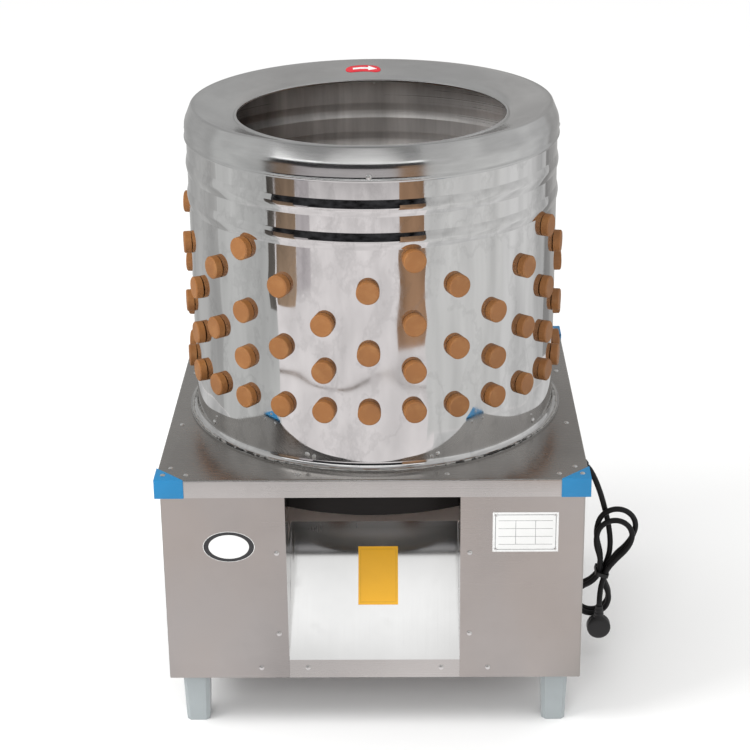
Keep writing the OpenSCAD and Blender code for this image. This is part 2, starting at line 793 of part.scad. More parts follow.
// Half outline of a finger: head below zero, neck through the sheet, collar, ribs and tip
function finger_outline(neck) = let (
  ribs_from = neck + 12,
  pitch = (finger_len - 6 - ribs_from) / finger_ribs,
  slope = (finger_base_d - finger_tip_d) / 2 / (finger_len - ribs_from),
  taper = function (l) finger_base_d / 2 - slope * (l - ribs_from))
  concat(
    [[0, -head_t], [head_d / 2 - 1.3, -head_t], [head_d / 2, -head_t + 1.3], [head_d / 2, -0.05],
      [neck_d / 2, -0.05], [neck_d / 2, neck], [finger_base_d / 2 + 1, neck],
      [finger_base_d / 2 + 1, neck + 5], [finger_base_d / 2 - 1.4, neck + 8]],
    [for (i = [0 : finger_ribs - 1], e = [0 : 2]) let (l = ribs_from + pitch * (i + [0, 0.3, 0.7][e]))
      [taper(l) - [1.4, 0, 0][e], l]],
    [[finger_tip_d / 2 - 0.5, finger_len - 5], [finger_tip_d / 2 - 2.5, finger_len - 1], [0, finger_len]]);

module finger(neck) {
  rotate_extrude($fn = 32) polygon(finger_outline(neck));
}

// Room behind the drum wall for the flat collar of a finger against the curved sheet
wall_neck = drum_wall + 0.6;

module finger_row(row) {
  color([0.75, 0.5, 0.27]) for (turn = finger_turns(row))
    on_drum(turn, drum_r, row_z[row]) rotate([180, 0, 0]) finger(wall_neck);
}

module drum_fingers_row_1() { finger_row(0); }
module drum_fingers_row_2() { finger_row(1); }
module drum_fingers_row_3() { finger_row(2); }
module drum_fingers_row_4() { finger_row(3); }
module drum_fingers_row_5() { finger_row(4); }
module drum_fingers_row_6() { finger_row(5); }

// Turntable

// Rings of fingers on the disc: radius, count and first angle
disc_rings = [[ring_in, 6, 0], [(ring_in + ring_out) / 2, 9, 30], [ring_out, 12, 15]];

module disc_places() {
  for (ring = disc_rings, i = [0 : ring[1] - 1])
    rotate(ring[2] + i * 360 / ring[1]) translate([ring[0], 0, 0]) children();
}

module hub_bolt_places() {
  for (i = [0 : 3]) rotate(45 + 90 * i) translate([bolt_ring, 0, 0]) children();
}

module turntable_disc() {
  color([0.74, 0.74, 0.73]) difference() {
    translate([0, 0, disc_low]) cylinder(r = disc_r, h = disc_t, $fn = 128);
    translate([0, 0, disc_low - 1]) cylinder(r = fit_r, h = disc_t + 2);
    disc_places() translate([0, 0, disc_low - 1]) cylinder(r = neck_d / 2 + neck_gap, h = disc_t + 2);
    hub_bolt_places() translate([0, 0, disc_low - 1]) cylinder(r = bolt_r + 0.1, h = disc_t + 2);
  }
}

module disc_fingers() {
  color([0.75, 0.5, 0.27]) disc_places() translate([0, 0, disc_low]) finger(disc_t + 0.1);
}

// Flange under the disc, boss on the shaft and a skirt over the water guard
module hub() {
  skirt_r = guard_r + sheet + skirt_gap;
  boss_r = skirt_r + skirt_t;
  boss_low = pan_z + guard_h + 4;
  skirt_low = pan_z + guard_h / 3;
  color([0.5, 0.5, 0.5]) difference() {
    union() {
      translate([0, 0, hub_low]) cylinder(r = hub_d / 2, h = hub_t);
      translate([0, 0, boss_low]) cylinder(r = boss_r, h = hub_low - boss_low + eps);
      tube_z(boss_r, skirt_r, skirt_low, boss_low + eps);
    }
    translate([0, 0, boss_low - 1]) cylinder(r = fit_r, h = disc_z);
    hub_bolt_places() translate([0, 0, hub_low - 1]) cylinder(r = bolt_r + 0.1, h = hub_t + 2);
  }
}

module hub_bolts() {
  color("gainsboro") hub_bolt_places() translate([0, 0, disc_z]) hex_bolt(bolt_r, 5, disc_t + hub_t + 4);
}

// Upright blades under the disc that push feathers round to the mouth
module sweepers() {
  inner = hub_d / 2 + blade_t;
  color([0.62, 0.62, 0.62]) for (turn = blade_turn) rotate(turn) {
    box([inner, -blade_t / 2, pan_z + blade_gap], [disc_r - 4, blade_t / 2, disc_low]);
    box([inner, blade_t / 2 - eps, disc_low - blade_t],
      [inner + blade_foot, blade_t / 2 + blade_foot_w, disc_low]);
  }
}

module main_shaft() {
  color("silver") {
    translate([0, 0, housing_low + 2]) cylinder(r = shaft_r, h = disc_z - housing_low - 2);
    translate([0, 0, disc_z - eps]) cylinder(r = thread_d / 2, h = 18 + eps);
  }
}

module shaft_nut() {
  color("gainsboro") difference() {
    union() {
      translate([0, 0, disc_z]) cylinder(r = 22, h = 3);
      translate([0, 0, disc_z + 3 - eps]) cylinder(r = 17, h = 14, $fn = 6);
    }
    translate([0, 0, disc_z - 1]) cylinder(r = thread_d / 2 + run_gap, h = 22);
  }
}

// Grooved pulley outline, about its axis: rim, groove, web and boss
module grooved_pulley(rim_r, boss_r, boss_extra, bore_r, web_t) {
  top_w = belt_w / 2 + belt_gap;
  deep_w = top_w - groove_deep * groove_lean;
  rim_in = rim_r - groove_deep - 6;
  half = pulley_w / 2;
  difference() {
    union() {
      rotate_extrude($fn = 96) polygon([[max(rim_in, bore_r), -half], [rim_r, -half], [rim_r, -top_w],
        [rim_r - groove_deep, -deep_w], [rim_r - groove_deep, deep_w], [rim_r, top_w], [rim_r, half],
        [max(rim_in, bore_r), half]]);
      if (rim_in > boss_r) tube_z(rim_in + eps, bore_r, -web_t / 2, web_t / 2);
      tube_z(boss_r, bore_r, -half - boss_extra, half + boss_extra);
    }
    translate([0, 0, -pulley_w]) cylinder(r = bore_r, h = 2 * pulley_w);
  }
}

module driven_pulley() {
  color([0.42, 0.43, 0.45]) difference() {
    translate([0, 0, pulley_mid]) grooved_pulley(driven_r, shaft_r + 15.5, boss_extra, fit_r, 8);
    for (i = [0 : 4]) rotate(72 * i) translate([68, 0, pulley_low]) cylinder(r = 22, h = pulley_w);
  }
}

// Bearings and their housing

module bearing_housing() {
  seat = bearing_w + seat_lip;
  seat_r = bearing_d / 2 + run_gap;
  color([0.4, 0.42, 0.44]) difference() {
    union() {
      translate([0, 0, housing_low]) cylinder(r = housing_r, h = housing_top - housing_low);
      translate([0, 0, low_rail_top])
        cylinder(r = norm([housing_bolt_x, beam_y]) + housing_edge, h = housing_flange_t);
    }
    translate([0, 0, housing_low - 1]) cylinder(r = bearing_d / 2 - 5, h = housing_top);
    translate([0, 0, housing_top - seat]) cylinder(r = seat_r, h = seat + 1);
    translate([0, 0, housing_low - 1]) cylinder(r = seat_r, h = seat + 1);
    housing_bolt_places() translate([0, 0, low_rail_top - 1])
      cylinder(r = bolt_r + 0.2, h = housing_flange_t + 2);
  }
}

module housing_bolt_places() {
  for (sx = [-1, 1], sy = [-1, 1]) translate([sx * housing_bolt_x, sy * beam_y, 0]) children();
}

module bearing() {
  tube_z(bearing_d / 2, fit_r, 0, bearing_w);
}

module bearings() {
  color("silver") {
    translate([0, 0, housing_top - bearing_w - seat_lip]) bearing();
    translate([0, 0, housing_low + seat_lip]) bearing();
  }
}

module housing_bolts() {
  color("gainsboro") housing_bolt_places()
    translate([0, 0, low_rail_top + housing_flange_t]) hex_bolt(bolt_r, 5, housing_flange_t);
}

// Belt and motor

module belt_section(r) {
  inner_w = belt_w / 2 - belt_t * groove_lean;
  polygon([[r - belt_t, -inner_w], [r, -belt_w / 2], [r, belt_w / 2], [r - belt_t, inner_w]]);
}

module v_belt() {
  color([0.12, 0.12, 0.12]) translate([0, 0, pulley_mid]) rotate(motor_dir) {
    rotate(belt_turn) rotate_extrude(angle = 360 - 2 * belt_turn, $fn = 96) belt_section(driven_r);
    translate([centre_gap, 0, 0]) rotate(-belt_turn)
      rotate_extrude(angle = 2 * belt_turn, $fn = 96) belt_section(driver_r);
    rotate(belt_turn) rotate([90, 0, 0]) linear_extrude(belt_run) belt_section(driven_r);
    rotate(-belt_turn) translate([0, belt_run, 0]) rotate([90, 0, 0])
      linear_extrude(belt_run) belt_section(driven_r);
  }
}

module at_motor() {
  translate([-motor_x, motor_y, 0]) children();
}

module motor_bolt_places() {
  at_motor() rotate(motor_dir) for (i = [0 : 3]) rotate(45 + 90 * i) translate([motor_bolt_ring, 0, 0])
    rotate(-45 - 90 * i) children();
}

// Angle bracket on the lower left rail, with slots that let the motor move to tighten the belt
module motor_bracket() {
  low_y = motor_y - motor_r - 14;
  high_y = leg_y - post_s / 2 - 2;
  reach = motor_r + 8;
  slot = 8;
  color([0.45, 0.46, 0.47]) difference() {
    union() {
      box([-rail_in_x, low_y, cab_floor], [-rail_in_x + bracket_t, high_y, bracket_z]);
      box([-rail_in_x, low_y, motor_top], [-motor_x + reach, high_y, bracket_z]);
      translate([0, low_y + bracket_t, 0]) rotate([90, 0, 0]) linear_extrude(bracket_t)
        polygon([[-rail_in_x, low_rail_top], [-rail_in_x, motor_top + eps],
          [-motor_x + reach, motor_top + eps], [-motor_x + reach, motor_top - 8]]);
    }
    at_motor() translate([0, 0, motor_top - 1]) cylinder(r = 32, h = bracket_t + 2);
    motor_bolt_places() translate([0, 0, motor_top - 1]) {
      for (s = [-1, 1]) translate([s * slot / 2, 0, 0]) cylinder(r = bolt_r + 0.4, h = bracket_t + 2);
      translate([-slot / 2, -bolt_r - 0.4, 0]) cube([slot, 2 * bolt_r + 0.8, bracket_t + 2]);
    }
  }
}

module motor_body() {
  core_r = motor_r - 8;
  fin_low = motor_low + 14;
  fin_high = motor_top - 14;
  color([0.25, 0.33, 0.42]) at_motor() difference() {
    union() {
      translate([0, 0, motor_low]) cylinder(r = core_r, h = motor_len);
      translate([0, 0, motor_top - 10]) cylinder(r = motor_r + 3, h = 10);
      for (i = [0 : 23]) rotate(15 * i) box([core_r - 2, -1.5, fin_low], [motor_r, 1.5, fin_high]);
    }
    translate([0, 0, motor_low - 1]) cylinder(r = motor_fit_r, h = motor_len + 2);
    rotate(motor_dir) for (i = [0 : 3]) rotate(45 + 90 * i) translate([motor_bolt_ring, 0, motor_top - 12])
      cylinder(r = bolt_r + 0.1, h = 14);
  }
}

// Cup over the fan with a ring of air slots in its floor
module motor_fan_cover() {
  cup_r = motor_r - 8;
  low = motor_low - fan_cover_h;
  color([0.2, 0.27, 0.35]) at_motor() difference() {
    translate([0, 0, low]) cylinder(r = cup_r, h = fan_cover_h);
    translate([0, 0, low + 1.5]) cylinder(r = cup_r - 1.5, h = fan_cover_h);
    for (i = [0 : 11]) rotate(30 * i) translate([cup_r * 0.3, -2.5, low - 1]) cube([cup_r * 0.55, 5, 4]);
  }
}

module motor_fan() {
  fan_r = motor_r - 16;
  fan_h = fan_cover_h / 2 - 1;
  low = motor_low - fan_cover_h + 10;
  color([0.15, 0.15, 0.16]) at_motor() difference() {
    union() {
      translate([0, 0, low]) cylinder(r = motor_shaft_d, h = fan_h);
      translate([0, 0, low + fan_h - 4]) cylinder(r = fan_r, h = 2);
      for (i = [0 : 7]) rotate(45 * i) box([motor_shaft_d - 2, -1, low], [fan_r, 1, low + fan_h - 4 + eps]);
    }
    translate([0, 0, low - 1]) cylinder(r = motor_fit_r, h = fan_cover_h);
  }
}

module motor_shaft() {
  low = motor_low - fan_cover_h + 8;
  color("silver") at_motor() translate([0, 0, low]) cylinder(d = motor_shaft_d, h = pulley_top + 2 - low);
}

module motor_pulley() {
  color([0.42, 0.43, 0.45]) at_motor() translate([0, 0, pulley_mid])
    grooved_pulley(driver_r, driver_r - groove_deep - 3, 2, motor_fit_r, 8);
}

module motor_bolts() {
  color("gainsboro") motor_bolt_places() translate([0, 0, bracket_z]) hex_bolt(bolt_r, 5, bracket_t + 6);
}

module terminal_box() {
  color([0.16, 0.17, 0.18]) at_motor()
    box([motor_r, -terminal_w / 2, motor_low + motor_len / 4],
      [motor_r + terminal_out, terminal_w / 2, motor_low + 3 * motor_len / 4]);
}

// Switch on the right side, with two buttons that travel inwards

// The part of the switch that goes through the wall
module switch_core(grow, depth) {
  core_w = switch_w / 2 - switch_edge + grow;
  core_h = switch_h / 2 - switch_edge + grow;
  box([wall_x - depth, switch_y - core_w, switch_z - core_h],
    [wall_x + eps, switch_y + core_w, switch_z + core_h]);
}

module at_button(s) {
  translate([wall_x + switch_t, switch_y, switch_z + s * button_up]) rotate([0, 90, 0]) children();
}

module switch_box() {
  pocket = button_len - button_out + button_travel + 0.5;
  color([0.14, 0.14, 0.15]) difference() {
    union() {
      box([wall_x, switch_y - switch_w / 2, switch_z - switch_h / 2],
        [wall_x + switch_t, switch_y + switch_w / 2, switch_z + switch_h / 2]);
      switch_core(0, switch_deep);
    }
    for (s = [-1, 1]) at_button(s) translate([0, 0, -pocket])
      cylinder(d = button_d + 2 * run_gap, h = pocket + 1);
  }
}

module button(s) {
  at_button(s) translate([0, 0, button_out - button_len]) rotate_extrude()
    polygon([[0, 0], [button_d / 2, 0], [button_d / 2, button_len - 1], [button_d / 2 - 1, button_len],
      [0, button_len]]);
}

module start_button() {
  color([0.1, 0.55, 0.25]) button(1);
}

module stop_button() {
  color([0.75, 0.1, 0.1]) button(-1);
}

// Mains cord: gland, lead, hank with its tail, tie and plug

gland_y = -44;
gland_z = plate_z - 62;
gland_shank_r = 7.5;
gland_lean = 50;
boot_len = 34;
cord_r = cord_d / 2;

// Lead from the boot's tip to the waist of the hank
lead_way = [[298.4, -44, 284], [304, -44, 277.3], [310, -44, 266.5], [316, -44, 252.5], [321.5, -44, 236.5],
  [326.5, -44, 219], [331, -44.5, 201], [334.5, -46, 183], [336.2, -48.5, 166], [335.6, -50, 152]];

// Waist of the hank and its own axes: up along the hank, across it, and out to the front
waist = [324, -50, 123.6];
hank_up = [sin(hank_lean), 0, cos(hank_lean)];
hank_side = [cos(hank_lean), 0, -sin(hank_lean)];
hank_front = [0, -1, 0];

// Loops in their order: up or down, reach from the waist and radius of the fold
hank_loops = [[-1, 68, 24], [1, 99, 27], [-1, 70, 24], [1, 85, 25]];

function ease(x) = x <= 0 ? 0 : x >= 1 ? 1 : (1 - cos(180 * x)) / 2;

// Two equal bends, one each way
function bow(x) = x < 0.5 ? 2 * x * x : 1 - 2 * (1 - x) * (1 - x);

// One point of a loop: height and width from the waist, and the layer it lies in
function hank_point(up, side, layer) =
  waist + up * hank_up + side * hank_side + layer * loop_step * hank_front;

// A loop leaves the waist on one side, folds over at its reach and comes back on the other side,
// where it climbs half a layer
function hank_loop(n) = let (
  way = hank_loops[n][0],
  fold = hank_loops[n][2],
  run = hank_loops[n][1] - fold,
  from = way < 0 ? 1 : -1,
  width = function (q) waist_half + (fold - waist_half) * bow(q))
  concat(
    [for (i = [0 : 5]) hank_point(way * run * i / 6, from * width(i / 6), n / 2)],
    [for (i = [0 : 12]) hank_point(way * (run + fold * sin(15 * i)), from * fold * cos(15 * i), n / 2)],
    [for (i = [5 : -1 : 1]) hank_point(way * run * i / 6, -from * width(i / 6),
      n / 2 + ease((38 - run * i / 6) / 20) / 2)]);

// Tail from the waist to the plug, kept to the front of the loops
tail_points = [[324.2, -69.1, 109.4], [322.6, -71.2, 103.2], [321.5, -74.5, 97.5], [320.7, -77.8, 91.8],
  [320.2, -79.9, 85.6], [320, -80.6, 79]];

hank_start = hank_point(12.8, waist_half, 0);
lead_points = concat(lead_way, [hank_point(12.8 + 1.2 * cord_d, waist_half, 0), hank_start]);
hank_path = concat([hank_start], [for (n = [0 : len(hank_loops) - 1]) each hank_loop(n)],
  [hank_point(0, waist_half, len(hank_loops) / 2)], tail_points);

function unit(v) = v / norm(v);

// Direction of a path at a point
function path_way(path, i) = unit(path[min(i + 1, len(path) - 1)] - path[max(i - 1, 0)]);

function ring(path, i, r, sides) = let (
  way = path_way(path, i),
  across = unit(cross(way, [0, 1, 0])),
  over = cross(across, way))
  [for (k = [0 : sides - 1]) path[i] + r * (cos(360 * k / sides) * across + sin(360 * k / sides) * over)];

// A tube of flat-sided rings swept along a path, closed at both ends
module tube_along(path, r, sides) {
  n = len(path);
  points = [for (i = [0 : n - 1]) each ring(path, i, r, sides)];
  walls = [for (i = [0 : n - 2], k = [0 : sides - 1]) let (a = i * sides + k, b = i * sides + (k + 1) % sides)
    each [[a, a + sides, b], [b, a + sides, b + sides]]];
  last = (n - 1) * sides;
  caps = [for (k = [1 : sides - 2]) each [[0, k, k + 1], [last, last + k + 1, last + k]]];
  polyhedron(points, concat(walls, caps));
}

// Distance between stretches of the hank that are well apart along it
function far_gap(path, skip) = min([for (i = [0 : len(path) - 1], j = [0 : len(path) - 1])
  if (j > i + skip) norm(path[i] - path[j])]);

function middles(path) = [for (i = [0 : len(path) - 2], f = [0, 0.25, 0.5, 0.75])
  path[i] * (1 - f) + path[i + 1] * f];

function path_length(path) = len(path) < 2 ? 0
  : [for (i = [0 : len(path) - 2]) norm(path[i + 1] - path[i])] * [for (i = [0 : len(path) - 2]) 1];

module cord_gland() {
  nut_t = 5;
  color([0.1, 0.1, 0.1]) {
    translate([wall_x, gland_y, gland_z]) rotate([0, 90, 0]) cylinder(r = 14, h = 3);
    translate([wall_x - sheet - nut_t - 1, gland_y, gland_z]) rotate([0, 90, 0])
      cylinder(r = gland_shank_r, h = sheet + nut_t + 2);
    translate([wall_x - sheet - nut_t, gland_y, gland_z]) rotate([0, 90, 0]) cylinder(r = 11, h = nut_t);
    intersection() {
      translate([wall_x - 0.1, gland_y, gland_z]) rotate([0, 90 + gland_lean, 0])
        cylinder(r1 = 9, r2 = cord_r + 1.6, h = boot_len);
      translate([wall_x + 1, gland_y - 30, gland_z - 60]) cube([60, 60, 120]);
    }
  }
}

module cord_lead() {
  color([0.13, 0.13, 0.13]) tube_along(lead_points, cord_r, 10);
}

module cord_hank() {
  echo(hank_least_gap = far_gap(middles(hank_path), 24) - cord_d);
  echo(cord_length = path_length(lead_points) + path_length(hank_path));
  color([0.13, 0.13, 0.13]) tube_along(hank_path, cord_r, 6);
}

// Band round the waist
module cord_tie() {
  band_t = 1.2;
  band_h = 6;
  loose = 0.6;
  wide = waist_half + cord_r + loose;
  near = -cord_r - loose;
  far = len(hank_loops) / 2 * loop_step + cord_r + loose;
  color([0.08, 0.08, 0.08]) translate(waist) rotate([0, hank_lean, 0]) translate([0, 0, -band_h / 2])
    difference() {
      box([-wide - band_t, -far - band_t, 0], [wide + band_t, -near + band_t, band_h]);
      box([-wide, -far, -1], [wide, -near, band_h + 1]);
    }
}

// Side-entry plug: a round body on its side, a sleeve at the top and two pins behind
module plug() {
  body_r = 17;
  body_t = 18;
  sleeve = 18;
  plug_c = tail_points[len(tail_points) - 1] - [0, 0, body_r + sleeve - 2];
  color([0.1, 0.1, 0.1]) translate(plug_c) {
    rotate([90, 0, 0]) translate([0, 0, -body_t / 2]) rotate_extrude()
      polygon([[0, 0], [body_r - 2, 0], [body_r, 2], [body_r, body_t - 4], [body_r - 5, body_t],
        [0, body_t]]);
    translate([0, 0, body_r - 5]) cylinder(r1 = 8, r2 = cord_r + 1.2, h = sleeve + 3);
    for (s = [-1, 1]) translate([s * 9.5, body_t / 2 - 1, 0]) rotate([-90, 0, 0]) cylinder(r = 2.4, h = 18);
  }
}

frame_posts();
lower_rails();
upper_rails();
cross_beams();
feet();
top_plate();
corner_caps();
top_plate_rivets();
left_shell();
right_shell();
rear_panel();
panel_screws();
chute_floor();
chute_walls();
feather_pan();
rating_plate();
rating_rivets();
blank_label();
oval_badge();
arrow_plate();
arrow_mark();
drum_shell();
drum_collar();
drum_screws();
rim_cover();
drum_fingers_row_1();
drum_fingers_row_2();
drum_fingers_row_3();
drum_fingers_row_4();
drum_fingers_row_5();
drum_fingers_row_6();
turntable_disc();
disc_fingers();
hub();
hub_bolts();
sweepers();
main_shaft();
shaft_nut();
driven_pulley();
bearing_housing();
bearings();
housing_bolts();
v_belt();
motor_bracket();
motor_body();
motor_fan_cover();
motor_fan();
motor_shaft();
motor_pulley();
motor_bolts();
terminal_box();
switch_box();
start_button();
stop_button();
cord_gland();
cord_lead();
cord_hank();
cord_tie();
plug();
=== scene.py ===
import math

import bmesh
import bpy
import numpy as np
from mathutils import Matrix, Vector


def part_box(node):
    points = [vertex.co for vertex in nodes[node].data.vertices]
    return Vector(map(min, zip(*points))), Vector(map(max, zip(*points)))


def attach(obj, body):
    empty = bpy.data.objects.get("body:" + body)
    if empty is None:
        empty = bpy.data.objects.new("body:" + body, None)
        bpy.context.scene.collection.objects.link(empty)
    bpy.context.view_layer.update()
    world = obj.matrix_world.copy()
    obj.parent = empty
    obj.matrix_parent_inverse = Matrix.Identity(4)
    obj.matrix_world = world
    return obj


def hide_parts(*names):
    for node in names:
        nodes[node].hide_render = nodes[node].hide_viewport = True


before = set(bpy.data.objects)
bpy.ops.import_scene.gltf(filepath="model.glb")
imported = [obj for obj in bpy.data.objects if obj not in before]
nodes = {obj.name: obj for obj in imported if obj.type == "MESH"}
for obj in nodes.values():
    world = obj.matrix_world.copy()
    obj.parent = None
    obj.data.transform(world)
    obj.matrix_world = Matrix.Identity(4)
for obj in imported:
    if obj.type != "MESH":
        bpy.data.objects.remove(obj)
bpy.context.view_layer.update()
print("frame:", len(nodes), "nodes")


# camera at the photo's angle: yaw, pitch and roll in degrees, place in metres
cameraView = {"place": (0.0461, -2.5900, 1.4391), "yaw": -1.01, "pitch": 21.75, "roll": -0.70,
              "lens": 94.47}


def makeCamera(v):
    yaw, pitch, roll = np.radians([v["yaw"], v["pitch"], v["roll"]])
    ahead = np.array([math.sin(yaw) * math.cos(pitch), math.cos(yaw) * math.cos(pitch),
                      -math.sin(pitch)])
    right = np.array([math.cos(yaw), -math.sin(yaw), 0.0])
    up = np.cross(right, ahead)
    rightTurned = right * math.cos(roll) + up * math.sin(roll)
    upTurned = up * math.cos(roll) - right * math.sin(roll)
    lens = bpy.data.cameras.new("photoLens")
    lens.sensor_fit, lens.sensor_width, lens.lens = "HORIZONTAL", 36.0, v["lens"]
    lens.clip_start, lens.clip_end = 0.05, 60
    camera = bpy.data.objects.new("photoCamera", lens)
    bpy.context.scene.collection.objects.link(camera)
    turn = np.eye(4)
    turn[:3, 0], turn[:3, 1], turn[:3, 2], turn[:3, 3] = rightTurned, upTurned, -ahead, v["place"]
    camera.matrix_world = Matrix(turn.tolist())
    bpy.context.scene.camera = camera


makeCamera(cameraView)
print("camera set")


# a wire is one socket; arithmetic on wires adds Math nodes
class Wire:
    def __init__(self, paint, socket):
        self.paint, self.socket = paint, socket

    def calc(self, operation, *others, first=None):
        values = [self, *others] if first is None else [first, self]
        return self.paint.node("ShaderNodeMath", {"operation": operation}, dict(enumerate(values)))

    def __add__(self, other):
        return self.calc("ADD", other)

    def __sub__(self, other):
        return self.calc("SUBTRACT", other)

    def __mul__(self, other):
        return self.calc("MULTIPLY", other)

    def __truediv__(self, other):
        return self.calc("DIVIDE", other)

    def __pow__(self, other):
        return self.calc("POWER", other)

    def __radd__(self, other):
        return self.calc("ADD", first=other)

    def __rsub__(self, other):
        return self.calc("SUBTRACT", first=other)

    def __rmul__(self, other):
        return self.calc("MULTIPLY", first=other)

    def __rtruediv__(self, other):
        return self.calc("DIVIDE", first=other)

    def __rpow__(self, other):
        return self.calc("POWER", first=other)

    def __lt__(self, other):
        return self.calc("LESS_THAN", other)

    def __gt__(self, other):
        return self.calc("GREATER_THAN", other)

    def __abs__(self):
        return self.calc("ABSOLUTE")

    def top(self, other):
        return self.calc("MAXIMUM", other)


# one tint, darker or paler by a share
def shaded(tint, share):
    return tuple(min(1.0, c * share) for c in tint)


# a paint is one material; node() makes any node from its type, settings and inputs
class Paint:
    def __init__(self, name):
        self.material = bpy.data.materials.new(name)
        self.material.use_nodes = True
        self.tree = self.material.node_tree
        self.tree.nodes.clear()

    def node(self, kind, settings=None, inputs=None, output=0):
        made = self.tree.nodes.new(kind)
        for key, value in (settings or {}).items():
            setattr(made, key, value)
        for key, value in (inputs or {}).items():
            if isinstance(value, Wire):
                self.tree.links.new(value.socket, made.inputs[key])
            else:
                made.inputs[key].default_value = value
        return Wire(self, made.outputs[output]) if made.outputs else None

    def place(self):
        return self.node("ShaderNodeTexCoord", output="Object")

    def axes(self):
        split = self.node("ShaderNodeSeparateXYZ", inputs={0: self.place()})
        return [Wire(self, split.socket.node.outputs[i]) for i in range(3)]

    def join(self, x, y, z):
        return self.node("ShaderNodeCombineXYZ", inputs={0: x, 1: y, 2: z})

    def noise(self, vector, scale, detail=3.0, rough=0.5):
        inputs = {"Vector": vector, "Scale": scale, "Detail": detail, "Roughness": rough}
        return self.node("ShaderNodeTexNoise", inputs=inputs)

    def spread(self, value, low, high, toLow=0.0, toHigh=1.0):
        ends = {0: value, 1: low, 2: high, 3: toLow, 4: toHigh}
        return self.node("ShaderNodeMapRange", {"clamp": True}, ends)

    def blend(self, amount, first, second):
        first, second = [c if isinstance(c, Wire) else (*c, 1.0) for c in (first, second)]
        inputs = {0: amount, 6: first, 7: second}
        return self.node("ShaderNodeMix", {"data_type": "RGBA"}, inputs, output=2)

    def bump(self, height, distance, strength=1.0, under=None):
        inputs = {"Strength": strength, "Distance": distance, "Height": height}
        if under is not None:
            inputs["Normal"] = under
        return self.node("ShaderNodeBump", inputs=inputs)

    def finish(self, **sockets):
        names = {"colour": "Base Color", "metal": "Metallic", "rough": "Roughness", "normal": "Normal",
                 "coat": "Coat Weight", "specular": "Specular IOR Level"}
        inputs = {}
        for key, value in sockets.items():
            plainColour = key == "colour" and not isinstance(value, Wire)
            inputs[names[key]] = (*value, 1.0) if plainColour else value
        return self.show(self.node("ShaderNodeBsdfPrincipled", inputs=inputs))

    def show(self, shader):
        self.node("ShaderNodeOutputMaterial", inputs={0: shader})
        return self.material


# sheet steel with grain lines: grain gives how fast they change along x, y and z, cloud how uneven the
# gloss is, wave how far the sheet swells, shade how dark its patches are
def steelFinish(name, tint, rough, grain, lineDepth=0.00001, cloud=0.08, wave=0.0, paintedShadeAndDull=None,
                shade=0.88, warm=0.0):
    p = Paint(name)
    x, y, z = p.axes()
    lines = p.noise(p.join(x * grain[0], y * grain[1], z * grain[2]), 1.0, 4.0, 0.6)
    clouds = p.noise(p.place(), 6.0, 4.0, 0.55)
    smears = p.noise(p.place(), 23.0, 5.0, 0.65)
    smeared = p.spread(smears, 0.58, 0.75)
    roughness = rough + (lines - 0.5) * 0.14 + (clouds - 0.5) * cloud + smeared * 0.08
    colour = p.blend(p.spread(clouds, 0.35, 0.65), shaded(tint, shade), tint)
    if warm:    # broad stains, a little warmer than the sheet
        stains = p.noise(p.join(x * 5.0, y * 5.0, z * 2.6), 1.0, 3.0, 0.5)
        stained = (tint[0] * 1.06, tint[1] * 0.97, tint[2] * 0.90)
        colour = p.blend(p.spread(stains, 0.42, 0.66) * warm, colour, stained)
    # painted shade: from one height to another the sheet is painted darker, standing in for the shade
    # and dark reflection under the drum; it also gets rougher
    if paintedShadeAndDull:    # from one height to another the sheet gets darker and duller
        amount = p.spread(z + (clouds - 0.5) * 0.012, paintedShadeAndDull["from"], paintedShadeAndDull["to"])
        colour = p.blend(amount, colour, shaded(tint, paintedShadeAndDull["share"]))
        roughness = roughness + amount * paintedShadeAndDull["rough"]
    normal = p.bump(lines, lineDepth, 0.7)
    if wave:
        normal = p.bump(p.noise(p.place(), 7.0, 1.0, 0.4), wave, 1.0, normal)
    return p.finish(colour=colour, metal=1.0, rough=roughness, normal=normal)


# spun steel: the lines are rings round the drum's axis; streak gives how fast the streaks change across
# and upwards, low how dark they get, and the last argument paints shade that darkens the sheet from one
# x to another
def spunFinish(name, tint, rough, pitch, lineDepth=0.00001, metal=1.0, streak=(9.0, 60.0), low=0.85,
               paintedShade=None):
    p = Paint(name)
    x, y, z = p.axes()
    radius = (x * x + y * y) ** 0.5
    rings = p.noise(p.join(radius * pitch, z * pitch, 0.0), 1.0, 4.0, 0.6)
    clouds = p.noise(p.place(), 7.0, 4.0, 0.55)
    streaks = p.noise(p.join(x * streak[0], y * streak[0], z * streak[1]), 1.0, 4.0, 0.6)
    roughness = rough + (rings - 0.5) * 0.16 + (clouds - 0.5) * 0.1
    colour = p.blend(p.spread(streaks, 0.3, 0.7), shaded(tint, low), tint)
    # painted shade: the sheet is painted darker from one x to another
    if paintedShade:
        amount = p.spread(x + (streaks - 0.5) * 0.06, paintedShade["from"], paintedShade["to"])
        colour = p.blend(amount, colour, shaded(tint, paintedShade["share"]))
    return p.finish(colour=colour, metal=metal, rough=roughness, normal=p.bump(rings, lineDepth, 0.6))


# polished drum sheet: nearly a mirror, with faint upright rub marks, hazy patches and thin veins
def mirrorFinish(name, tint, rough):
    p = Paint(name)
    x, y, z = p.axes()
    rubs = p.noise(p.join(x * 160.0, y * 160.0, z * 5.0), 1.0, 4.0, 0.6)
    haze = p.noise(p.join(x * 7.0, y * 7.0, z * 3.0), 1.0, 4.0, 0.6)
    spots = p.noise(p.place(), 60.0, 3.0, 0.6)
    folds = p.noise(p.join(x * 13.0, y * 13.0, z * 8.0), 1.0, 5.0, 0.62)
    veins = p.spread(abs(folds - 0.5), 0.0, 0.035, 1.0, 0.0)
    roughness = rough + p.spread(haze, 0.45, 0.75) * 0.06 + (rubs - 0.5) * 0.04 + veins * 0.05
    worn = p.spread(haze, 0.3, 0.7) * 0.6 + p.spread(spots, 0.6, 0.75) * 0.2 + veins * 0.7
    colour = p.blend(worn, tint, shaded(tint, 0.88))
    return p.finish(colour=colour, metal=1.0, rough=roughness, normal=p.bump(rubs, 0.000004, 0.5))


